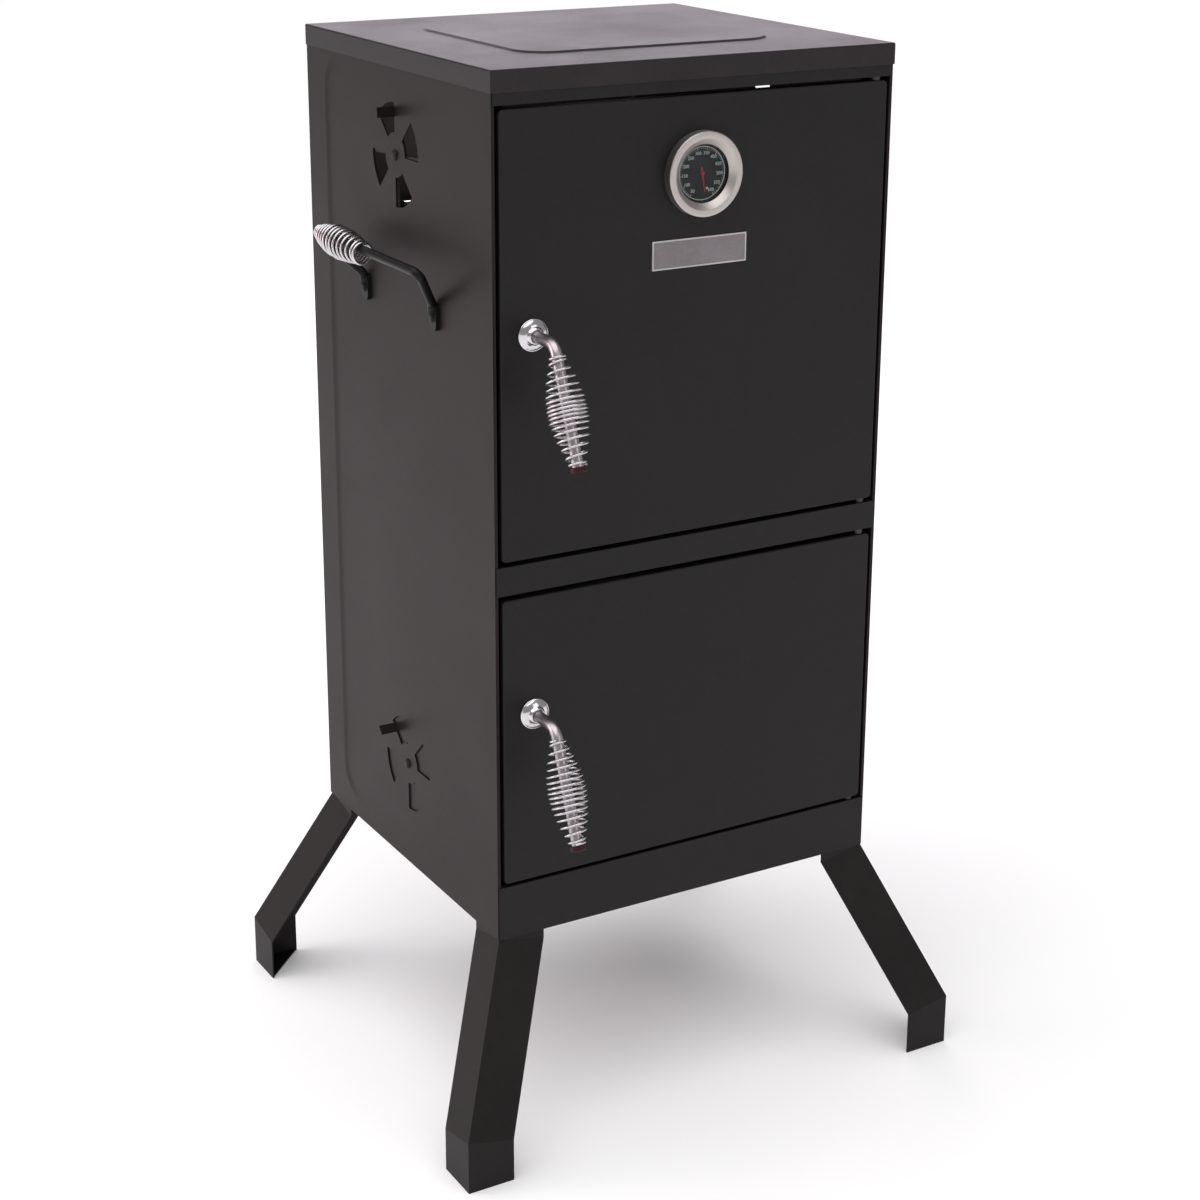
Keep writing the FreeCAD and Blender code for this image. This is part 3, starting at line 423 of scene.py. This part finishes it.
def settled(holder):
    """The holder's mesh with its modifiers worked out, as a plain mesh; the holder is thrown away."""
    graph = bpy.context.evaluated_depsgraph_get()
    worked_out = holder.evaluated_get(graph)
    mesh = bpy.data.meshes.new_from_object(worked_out, preserve_all_data_layers=True, depsgraph=graph)
    bpy.data.objects.remove(holder)
    return mesh


def holder_for(mesh):
    """A passing object that carries a mesh or a curve while its modifiers are worked out."""
    holder = bpy.data.objects.new("holder", mesh)
    bpy.context.collection.objects.link(holder)
    return holder


def softened(node, width, material=None):
    """Stands in for a CAD node: the same shape with its sharp edges eased by the width in millimetres."""
    mesh = NODES[node].data.copy()
    work = bmesh.new()
    work.from_mesh(mesh)
    bmesh.ops.remove_doubles(work, verts=work.verts, dist=1e-6)
    bmesh.ops.dissolve_limit(work, angle_limit=math.radians(0.5), verts=work.verts, edges=work.edges)
    for face in work.faces:
        face.smooth = True
    work.to_mesh(mesh)
    work.free()
    if not width:
        mesh.set_sharp_from_angle(angle=math.radians(40))
    else:
        holder = holder_for(mesh)
        bevel = holder.modifiers.new("eased_edges", "BEVEL")
        bevel.width = width * MM
        bevel.segments = 2
        bevel.limit_method = "ANGLE"
        bevel.angle_limit = math.radians(20)
        bevel.use_clamp_overlap = True
        flats = holder.modifiers.new("flats_lead", "WEIGHTED_NORMAL")
        flats.mode = "FACE_AREA"
        flats.weight = 100
        mesh = settled(holder)
    return add_piece(node + "_finished", mesh, [material or FINISH[SLOT_OF[node]]], node)


def geometry_tree(name, inputs):
    """A geometry tree with named inputs: its net, its input node, and a function that finishes it."""
    tree = bpy.data.node_groups.new(name, "GeometryNodeTree")
    for label, kind, value in inputs:
        made = tree.interface.new_socket(label, in_out="INPUT", socket_type=kind)
        if value is not None:
            made.default_value = value
    tree.interface.new_socket("Finish", in_out="INPUT", socket_type="NodeSocketMaterial")
    tree.interface.new_socket("Geometry", in_out="OUTPUT", socket_type="NodeSocketGeometry")
    net = Net(tree)
    given = net.add("NodeGroupInput")
    out = net.add("NodeGroupOutput")

    def close(geometry):
        whole = net.shape("GeometryNodeRealizeInstances", {"Geometry": geometry})
        shaded = net.shape("GeometryNodeSetMaterial", {"Geometry": whole, "Material": given.outputs["Finish"]})
        net.feed(out.inputs["Geometry"], shaded)

    return net, given, close


def grown(tree, material, **values):
    """The plain mesh that a geometry tree makes with these values for its named inputs."""
    holder = holder_for(bpy.data.meshes.new("seed"))
    modifier = holder.modifiers.new("grow", "NODES")
    modifier.node_group = tree
    values["Finish"] = material
    wanted = {key.replace("_", " "): value for key, value in values.items()}
    for item in tree.interface.items_tree:
        if item.item_type == "SOCKET" and item.in_out == "INPUT" and item.name in wanted:
            modifier[item.identifier] = wanted[item.name]
    return settled(holder)


def axes(origin, x_axis, z_axis):
    """The matrix that takes a shape drawn at the origin to a place, its Z and X along two directions."""
    y_axis = z_axis.cross(x_axis)
    return Matrix.Translation(origin) @ Matrix((x_axis, y_axis, z_axis)).transposed().to_4x4()


def make_coil_tree():
    """A wire wound round a bar: closed turns at both ends, opening to a fat middle where the turns gather."""
    net, given, close = geometry_tree("wound_wire", [
        ("Length", FLOAT, 0.092), ("Turns", FLOAT, 18.0), ("End Radius", FLOAT, 0.006),
        ("Far Radius", FLOAT, 0.006), ("Middle Radius", FLOAT, 0.016), ("Wire Radius", FLOAT, 0.0011),
        ("Gather", FLOAT, 0.4), ("Start Turn", FLOAT, 0.0), ("Looseness", FLOAT, 0.02), ("Sag", FLOAT, 0.0)])
    g = given.outputs
    line = net.shape("GeometryNodeCurvePrimitiveLine", {"End": (0, 0, 1)})
    points_on_wire = net.math("MULTIPLY", g["Turns"], 40.0)
    fine = net.shape("GeometryNodeResampleCurve", {"Curve": line, "Count": points_on_wire})
    u = net.add("GeometryNodeSplineParameter").outputs["Factor"]
    # the first and last turns lie closed; the share of the way along runs between them
    closed = net.math("DIVIDE", 1.0, g["Turns"])
    opened = net.math("SUBTRACT", 1.0, closed)
    first = net.math("DIVIDE", net.math("MINIMUM", u, closed), closed)
    last = net.math("DIVIDE", net.math("MAXIMUM", net.math("SUBTRACT", u, opened), 0.0), closed)
    share = net.remap(u, closed, opened, 0.0, 1.0)
    swing = net.math("SINE", net.math("MULTIPLY", share, math.tau))
    spaced = net.math("ADD", share, net.math("DIVIDE", net.math("MULTIPLY", g["Gather"], swing), math.tau))
    # how far the wire has climbed
    wire = net.math("MULTIPLY", g["Wire Radius"], 2.1)
    run = net.math("SUBTRACT", net.math("SUBTRACT", g["Length"], net.math("MULTIPLY", wire, 2.0)), wire)
    climb = net.weighted(net.math("ADD", first, last), wire, run, spaced)
    height = net.math("ADD", climb, g["Wire Radius"])
    # how far out it stands
    belly = net.math("SINE", net.math("MULTIPLY", spaced, math.pi))
    widening = net.math("SUBTRACT", g["Far Radius"], g["End Radius"])
    ends = net.math("ADD", g["End Radius"], net.math("MULTIPLY", widening, spaced))
    swell = net.math("MULTIPLY", net.math("SUBTRACT", g["Middle Radius"], ends), belly)
    turned = net.math("ADD", net.math("MULTIPLY", u, g["Turns"]), g["Start Turn"])
    angle = net.math("MULTIPLY", turned, math.tau)
    wander = net.math("MULTIPLY", net.math("SINE", net.math("MULTIPLY", angle, 0.37)), g["Looseness"])
    uneven = net.math("ADD", 1.0, net.math("MULTIPLY", wander, belly))
    radius = net.math("MULTIPLY", net.math("ADD", ends, swell), uneven)
    drop = net.math("MULTIPLY", g["Sag"], net.math("SUBTRACT", 1.0, share))
    place = net.xyz(X=net.math("MULTIPLY", radius, net.math("COSINE", angle)),
                    Y=net.math("ADD", net.math("MULTIPLY", radius, net.math("SINE", angle)), drop), Z=height)
    wound = net.shape("GeometryNodeSetPosition", {"Geometry": fine, "Position": place})
    section = net.shape("GeometryNodeCurvePrimitiveCircle", {"Resolution": 10, "Radius": g["Wire Radius"]})
    solid = net.shape("GeometryNodeCurveToMesh", {"Curve": wound, "Profile Curve": section, "Fill Caps": True})
    close(net.shape("GeometryNodeSetShadeSmooth", {"Geometry": solid}))
    return net.tree


def lathe(profile, centre, axis, across, segments=96):
    """Turns a closed outline of (radius, height), in millimetres, about an axis; a point on it is a pole."""
    side_on = axis.cross(across)
    work = bmesh.new()
    rings = []
    for r, h in profile:
        spot = centre + axis * h * MM
        if r == 0:
            rings.append([work.verts.new(spot)] * segments)
            continue
        rings.append([work.verts.new(spot + (across * math.cos(a) + side_on * math.sin(a)) * r * MM)
                      for a in (i * math.tau / segments for i in range(segments))])
    for low, high in zip(rings, rings[1:] + rings[:1]):
        for i in range(segments):
            j = (i + 1) % segments
            corners = list(dict.fromkeys((low[i], low[j], high[j], high[i])))
            if len(corners) > 2:
                work.faces.new(corners)
    bmesh.ops.recalc_face_normals(work, faces=work.faces)
    for face in work.faces:
        face.smooth = True
    mesh = bpy.data.meshes.new("turned")
    work.to_mesh(mesh)
    work.free()
    mesh.set_sharp_from_angle(angle=math.radians(35))
    return mesh


def arc_points(centre, radius, start, end, steps):
    """Points of an arc in (radius, height), angles in degrees."""
    angles = [math.radians(start + (end - start) * i / steps) for i in range(steps + 1)]
    return [(centre[0] + radius * math.cos(a), centre[1] + radius * math.sin(a)) for a in angles]


make_camera()
make_lamps()
make_air()


# ---- sheet pieces carried over from the frame, with their edges eased ----
def ease_frame_nodes():
    """Every node whose CAD shape is right, copied with softened edges and its own paint."""
    softened("top_cover", 0.5, COVER_PAINT)
    sheets = {"left_side_panel": 0.4, "right_side_panel": 0.4, "back_panel": 0.4, "floor_panel": 0.3,
              "upper_front_band": 0.4, "middle_rail": 0.4, "lower_front_band": 0.4, "upper_door": 0.3,
              "lower_door": 0.3, "front_left_leg": 0.5, "front_right_leg": 0.5, "rear_left_leg": 0.5,
              "rear_right_leg": 0.5, "left_upper_damper": 0.25, "right_upper_damper": 0.25,
              "left_lower_damper": 0.25, "right_lower_damper": 0.25, "left_ledges": 0.3, "right_ledges": 0.3,
              "upper_latch_tongue": 0.4, "lower_latch_tongue": 0.4, "upper_latch_nut": 0.4,
              "lower_latch_nut": 0.4, "leg_studs": 0.3, "leg_nuts": 0.4, "thermometer_nut": 0.5,
              "water_pan": 0.4, "charcoal_pan": 0.4}
    for node, width in sheets.items():
        softened(node, width)
    for node in ("left_lift_handle", "right_lift_handle", "damper_rivets", "back_rivets", "thermometer_case",
                 "thermometer_stem", "charcoal_grate"):
        softened(node, 0)
    finishes = {"upper_door_lever": LEVER_STEEL, "lower_door_lever": LEVER_STEEL, "hinge_pins": PIN_STEEL,
                "lift_handle_screws": BAR_PAINT}
    for node, finish in finishes.items():
        softened(node, 0, finish)


# ---- wire grips: sizes in millimetres ----
LEVER_RADIUS, WIRE_RADIUS = 5.0, 1.1
HANDLE_STAND, HANDLE_BEND, HANDLE_TILT = 37.5, 14.0, math.radians(22.5)
GRIP_LENGTH, GRIP_RADIUS, CAP_LENGTH = 92.0, 17.4, 5.0
LIFT_BAR_RADIUS, LIFT_GRIP_RADIUS, LIFT_WIRE_RADIUS = 4.0, 14.8, 1.35


def handle_axis(rosette_node):
    """Where a door handle's lever leaves the door's face, the start of its grip, and the way it points."""
    low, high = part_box(rosette_node)
    root = Vector(((low.x + high.x) / 2, high.y, (low.z + high.z) / 2))
    along = Vector((0, -math.sin(HANDLE_TILT), -math.cos(HANDLE_TILT)))
    foot = HANDLE_BEND * math.tan((math.pi / 2 - HANDLE_TILT) / 2)
    start = root - Y * HANDLE_STAND * MM + along * foot * MM
    return root, start, along


def make_grips():
    """The wound wire of the two door grips and of the two lift grips."""
    tree = make_coil_tree()
    winding = {"upper": dict(Turns=18.0, Gather=0.42, Start_Turn=0.1, Looseness=0.03),
               "lower": dict(Turns=17.0, Gather=0.28, Start_Turn=0.35, Looseness=0.02)}
    on_lever = LEVER_RADIUS + WIRE_RADIUS
    for place, turns in winding.items():
        start, along = handle_axis(place + "_door_rosette")[1:]
        mesh = grown(tree, COIL_WIRE, Length=GRIP_LENGTH * MM, End_Radius=(on_lever + 0.5) * MM,
                     Far_Radius=(on_lever + 0.9) * MM, Middle_Radius=(GRIP_RADIUS - WIRE_RADIUS) * MM,
                     Wire_Radius=WIRE_RADIUS * MM, **turns)
        mesh.transform(axes(start, X, along))
        add_piece(place + "_wound_grip", mesh, [COIL_WIRE], place + "_door_grip")
    for place in ("left", "right"):
        low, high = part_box(place + "_lift_grip")
        front_end = Vector(((low.x + high.x) / 2, low.y, (low.z + high.z) / 2))
        mesh = grown(tree, COIL_WIRE, Length=high.y - low.y, Turns=14.0, Gather=0.1, Start_Turn=0.2,
                     Looseness=0.02, End_Radius=9.2 * MM, Far_Radius=(LIFT_BAR_RADIUS + WIRE_RADIUS + 0.6) * MM,
                     Middle_Radius=(LIFT_GRIP_RADIUS - 1.5) * MM, Wire_Radius=LIFT_WIRE_RADIUS * MM, Sag=0.0035)
        mesh.transform(axes(front_end, X, Y))
        add_piece(place + "_wound_lift_grip", mesh, [COIL_WIRE], place + "_lift_grip")


def make_rosettes_and_caps():
    """Plated door rosettes with a rolled rim and a dished throat, and the dark plugs on the levers' ends."""
    dome = [(5.08, 0), (14.0, 0), (14.0, 0.9), *arc_points((12.9, 1.0), 1.1, 0, 60, 4), (12.6, 2.3),
            *arc_points((4.2, -6.5), 12.3, 44, 72, 7),
            (7.3, 6.4), (6.4, 7.6), (5.9, 7.8), (5.3, 7.5), (5.08, 7.0)]
    plug = [(5.02, 0.05), (6.4, 0.05), (6.9, 0.6), (7.0, 3.6), *arc_points((5.6, 3.6), 1.4, 0, 90, 5),
            (0, CAP_LENGTH), (0, 2.6), (5.02, 2.6)]
    for place in ("upper", "lower"):
        root, start, along = handle_axis(place + "_door_rosette")
        add_piece(place + "_rosette_dome", lathe(dome, root, -Y, X), [CHROME], place + "_door_rosette")
        end = start + along * GRIP_LENGTH * MM
        add_piece(place + "_end_plug", lathe(plug, end, along, X, 48), [CAP_RED], place + "_grip_cap")


# ---- thermometer: radii, and heights out from the door's face, in millimetres ----
DIAL_RADIUS, DIAL_BACK, DIAL_FRONT, PRINT_HEIGHT = 33.4, 1.2, 1.8, 1.84
NUMERAL_COUNT, NUMERAL_STEP, NUMERAL_RADIUS = 12, 50, 17.3
SCALE_START, SCALE_SWEEP = math.radians(212), math.radians(296)
GREEN_MARK_BEARING, GREEN_MARK_RADIUS = math.radians(158), 14.0
POINTER_REST = math.radians(-10)


def make_tick_tree():
    """Printed tick marks round part of a circle in the XZ plane, every fifth one longer."""
    net, given, close = geometry_tree("scale_ticks", [
        ("Radius", FLOAT, 0.0205), ("Count", "NodeSocketInt", 55), ("Tick Length", FLOAT, 0.0012),
        ("Tick Width", FLOAT, 0.0003), ("Thickness", FLOAT, 0.00008), ("First Bearing", FLOAT, 3.6),
        ("Sweep", FLOAT, 5.2)])
    g = given.outputs
    points = net.shape("GeometryNodeMeshLine", {"Count": g["Count"], "Offset": (0, 0, 0)})
    index = net.add("GeometryNodeInputIndex").outputs[0]
    share = net.math("DIVIDE", index, net.math("SUBTRACT", g["Count"], 1.0))
    bearing = net.math("ADD", g["First Bearing"], net.math("MULTIPLY", share, g["Sweep"]))
    place = net.xyz(X=net.math("MULTIPLY", net.math("SINE", bearing), g["Radius"]),
                    Z=net.math("MULTIPLY", net.math("COSINE", bearing), g["Radius"]))
    spread = net.shape("GeometryNodeSetPosition", {"Geometry": points, "Position": place})
    size = net.xyz(X=g["Tick Width"], Y=g["Thickness"], Z=g["Tick Length"])
    tick = net.shape("GeometryNodeMeshCube", {"Size": size})
    fifth = net.math("LESS_THAN", net.math("MODULO", index, 5.0), 0.5)
    grow = net.xyz(X=net.math("ADD", 1.0, net.math("MULTIPLY", fifth, 0.7)), Y=1.0,
                   Z=net.math("ADD", 1.0, net.math("MULTIPLY", fifth, 0.8)))
    close(net.shape("GeometryNodeInstanceOnPoints", {"Points": spread, "Instance": tick,
                                                     "Rotation": net.xyz(Y=bearing), "Scale": grow}))
    return net.tree


def numeral(text, spot, height):
    """Raised print of a number, centred on a spot and facing the doors' way."""
    curve = bpy.data.curves.new("numeral", "FONT")
    curve.body = text
    curve.size = height
    curve.align_x, curve.align_y = "CENTER", "CENTER"
    curve.extrude = 0.00004
    curve.resolution_u = 3
    mesh = settled(holder_for(curve))
    mesh.transform(axes(spot, X, -Y))
    return mesh


def joined(meshes):
    """One mesh that holds all of these."""
    work = bmesh.new()
    for mesh in meshes:
        work.from_mesh(mesh)
    whole = bpy.data.meshes.new("joined")
    work.to_mesh(whole)
    work.free()
    return whole


def flat_ring(inner, outer, low, high):
    """The outline of a flat ring, for the lathe."""
    return [(inner, low), (outer, low), (outer, high), (inner, high)]


def dial_spot(face, bearing, radius):
    """The place at a clock bearing and a radius on the dial's printed face."""
    return face + (X * math.sin(bearing) + Z * math.cos(bearing)) * radius * MM


def make_thermometer():
    """Rolled bezel, printed dial, glass and pointer, about the middle of the gauge."""
    out = -Y
    bezel = [(36.2, 0.5), (36.2, 8.7), *arc_points((35.0, 8.8), 1.2, 0, 90, 6),
             *arc_points((30.6, 9.4), 0.6, 90, 135, 3), (25.2, 5.7), (24.9, 5.3), (24.9, 4.9), (26.2, 4.9),
             (30.4, 8.9), (35.1, 8.9), (35.1, 0.5)]
    add_piece("gauge_bezel", lathe(bezel, gauge, out, X, 160), [BEZEL_STEEL], "thermometer_bezel")
    dial = flat_ring(1.15, DIAL_RADIUS, DIAL_BACK, DIAL_FRONT)
    add_piece("gauge_dial", lathe(dial, gauge, out, X, 96), [DIAL_BLACK], "thermometer_dial")
    face = gauge + out * PRINT_HEIGHT * MM
    gaps = NUMERAL_COUNT - 1
    ticks = grown(make_tick_tree(), DIAL_PRINT, Radius=21.2 * MM, Count=5 * gaps + 1, Tick_Length=1.3 * MM,
                  Tick_Width=0.28 * MM, Thickness=0.08 * MM, First_Bearing=SCALE_START, Sweep=SCALE_SWEEP)
    ticks.transform(Matrix.Translation(face))
    print_meshes = [ticks, lathe(flat_ring(22.2, 22.8, -0.02, 0.04), face, out, X, 128)]
    for i in range(NUMERAL_COUNT):
        spot = dial_spot(face, SCALE_START + SCALE_SWEEP * i / gaps, NUMERAL_RADIUS)
        print_meshes.append(numeral(str(NUMERAL_STEP * (i + 1)), spot, 4.1 * MM))
    add_piece("gauge_print", joined(print_meshes), [DIAL_PRINT], body="upper_door")
    spot = dial_spot(face, GREEN_MARK_BEARING, GREEN_MARK_RADIUS)
    mark = lathe(flat_ring(0.35, 1.1, -0.02, 0.05), spot, out, X, 24)
    add_piece("gauge_green_mark", mark, [MARK_GREEN], body="upper_door")
    lens = [(0, 3.4), (34.7, 3.4), (34.7, 4.7), (33, 4.75), (24, 4.86), (12, 4.88), (0, 4.9)]
    add_piece("gauge_lens", lathe(lens, gauge, out, X, 96), [GLASS], "thermometer_lens")
    make_needle()


def make_needle():
    """A thin pressed pointer: a tapering blade with a short tail, on a domed hub and its shaft."""
    work = bmesh.new()
    blade = [(-1.15, 5.0), (-0.5, 5.6), (0.5, 5.6), (1.15, 5.0), (1.0, 0), (0.6, -9), (0.22, -17),
             (-0.22, -17), (-0.6, -9), (-1.0, 0)]
    back, front = ([work.verts.new(gauge + X * x * MM + Z * z * MM - Y * h * MM) for x, z in blade]
                   for h in (2.2, 2.55))
    work.faces.new(back)
    work.faces.new(list(reversed(front)))
    for i in range(len(blade)):
        j = (i + 1) % len(blade)
        work.faces.new((back[i], front[i], front[j], back[j]))
    bmesh.ops.recalc_face_normals(work, faces=work.faces)
    flat = bpy.data.meshes.new("blade")
    work.to_mesh(flat)
    work.free()
    turn = Matrix.Rotation(POINTER_REST, 4, "Y")
    flat.transform(Matrix.Translation(gauge) @ turn @ Matrix.Translation(-gauge))
    add_piece("gauge_pointer", flat, [NEEDLE_RED], "thermometer_needle")
    hub = [(0, 2.5), (2.0, 2.5), (1.9, 2.75), *arc_points((0.6, 2.0), 1.2, 50, 85, 4), (0, 3.2)]
    shaft = [(0, -6.0), (0.8, -6.0), (0.8, 2.3), (0, 2.3)]
    turned = joined([lathe(hub, gauge, -Y, X, 40), lathe(shaft, gauge, -Y, X, 24)])
    add_piece("gauge_hub", turned, [NEEDLE_RED], body="needle")


# ---- name plate ----
def make_name_plate():
    """A blank pressed plate: a bright raised border round a grey field."""
    low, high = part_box("name_plate")
    wide, tall = (high.x - low.x) / MM, (high.z - low.z) / MM
    middle = Vector(((low.x + high.x) / 2, high.y, (low.z + high.z) / 2))
    # how far in from the edge, and how far out from the door, in millimetres
    steps = [(0, 0.0), (0, 0.7), (0.15, 0.95), (0.35, 1.0), (0.95, 1.0), (1.15, 0.9), (1.3, 0.7)]
    work = bmesh.new()
    loops = []
    for inset, height in steps:
        w, h = wide / 2 - inset, tall / 2 - inset
        corners = ((-w, -h), (w, -h), (w, h), (-w, h))
        loops.append([work.verts.new(middle + (X * x + Z * z - Y * height) * MM) for x, z in corners])
    for one, two in zip(loops, loops[1:]):
        for i in range(4):
            j = (i + 1) % 4
            work.faces.new((one[i], one[j], two[j], two[i]))
    work.faces.new(list(reversed(loops[0])))
    work.faces.new(loops[-1])
    bmesh.ops.recalc_face_normals(work, faces=work.faces)
    mesh = bpy.data.meshes.new("plate")
    work.to_mesh(mesh)
    work.free()
    plate = add_piece("blank_plate", mesh, [PLATE_EDGE, PLATE_GREY], "name_plate")
    grey_field = plate.data.polygons[-1]
    grey_field.material_index = 1


# ---- wire grates: sizes in millimetres ----
GRATE_CORNER, GRATE_BAR_RADIUS, GRATE_BARS = 18.0, 2.0, 19


def make_grate_tree():
    """A wire grate: a rounded rim, bars from front to back and two cross bars under them."""
    net, given, close = geometry_tree("wire_grate", [
        ("Width", FLOAT, 0.34), ("Depth", FLOAT, 0.294), ("Corner", FLOAT, 0.018),
        ("Rim Radius", FLOAT, 0.003), ("Bar Radius", FLOAT, 0.002), ("Bars", "NodeSocketInt", 19),
        ("Cross Drop", FLOAT, 0.001)])
    g = given.outputs

    def tubes(curve, radius, caps=True):
        section = net.shape("GeometryNodeCurvePrimitiveCircle", {"Resolution": 12, "Radius": radius})
        feeds = {"Curve": curve, "Profile Curve": section, "Fill Caps": caps}
        return net.shape("GeometryNodeCurveToMesh", feeds)

    def rods(start, end, first, step, count):
        """Equal rods from start to end, in a row."""
        line = net.shape("GeometryNodeCurvePrimitiveLine", {"Start": start, "End": end})
        spots = net.shape("GeometryNodeMeshLine", {"Count": count, "Start Location": first, "Offset": step})
        rod = tubes(line, g["Bar Radius"])
        return net.shape("GeometryNodeInstanceOnPoints", {"Points": spots, "Instance": rod})

    outline = net.shape("GeometryNodeCurvePrimitiveQuadrilateral", {"Width": g["Width"], "Height": g["Depth"]})
    corners = {"Curve": outline, "Radius": g["Corner"], "Count": 6}
    rounded = net.shape("GeometryNodeFilletCurve", corners, mode="POLY")
    rim = tubes(rounded, g["Rim Radius"], False)
    half_depth, half_width = net.math("MULTIPLY", g["Depth"], 0.5), net.math("MULTIPLY", g["Width"], 0.5)
    pitch = net.math("DIVIDE", g["Width"], net.math("ADD", g["Bars"], 1.0))
    bars = rods(net.xyz(Y=net.math("MULTIPLY", half_depth, -1.0)), net.xyz(Y=half_depth),
                net.xyz(X=net.math("SUBTRACT", pitch, half_width)), net.xyz(X=pitch), g["Bars"])
    drop = net.math("MULTIPLY", g["Cross Drop"], -1.0)
    across = rods(net.xyz(X=net.math("MULTIPLY", half_width, -1.0)), net.xyz(X=half_width),
                  net.xyz(Y=net.math("MULTIPLY", g["Depth"], -0.2), Z=drop),
                  net.xyz(Y=net.math("MULTIPLY", g["Depth"], 0.4)), 2)
    whole = net.add("GeometryNodeJoinGeometry")
    for part in (rim, bars, across):
        net.tree.links.new(part, whole.inputs[0])
    close(net.shape("GeometryNodeSetShadeSmooth", {"Geometry": whole.outputs[0]}))
    return net.tree


def make_grates():
    """The three cooking grates, each as big as its node."""
    tree = make_grate_tree()
    for place in ("lower", "middle", "upper"):
        low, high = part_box(place + "_grate")
        rim = (high.z - low.z) / 2
        mesh = grown(tree, GRATE_PLATING, Width=high.x - low.x - 2 * rim, Depth=high.y - low.y - 2 * rim,
                     Corner=GRATE_CORNER * MM, Rim_Radius=rim, Bar_Radius=GRATE_BAR_RADIUS * MM,
                     Bars=GRATE_BARS, Cross_Drop=rim - GRATE_BAR_RADIUS * MM)
        mesh.transform(Matrix.Translation((low + high) / 2))
        add_piece(place + "_wire_grate", mesh, [GRATE_PLATING], place + "_grate")


# ---- floor ----
def make_floor():
    """The plain floor that the feet stand on."""
    mesh = bpy.data.meshes.new("floor")
    reach = 14.0
    corners = [(-reach, -reach, 0), (reach, -reach, 0), (reach, reach, 0), (-reach, reach, 0)]
    mesh.from_pydata(corners, [], [(0, 1, 2, 3)])
    floor = bpy.data.objects.new("studio_floor", mesh)
    mesh.materials.append(pale_floor("studio_floor_finish"))
    bpy.context.collection.objects.link(floor)


ease_frame_nodes()
make_grips()
make_rosettes_and_caps()
make_thermometer()
make_name_plate()
make_grates()
make_floor()
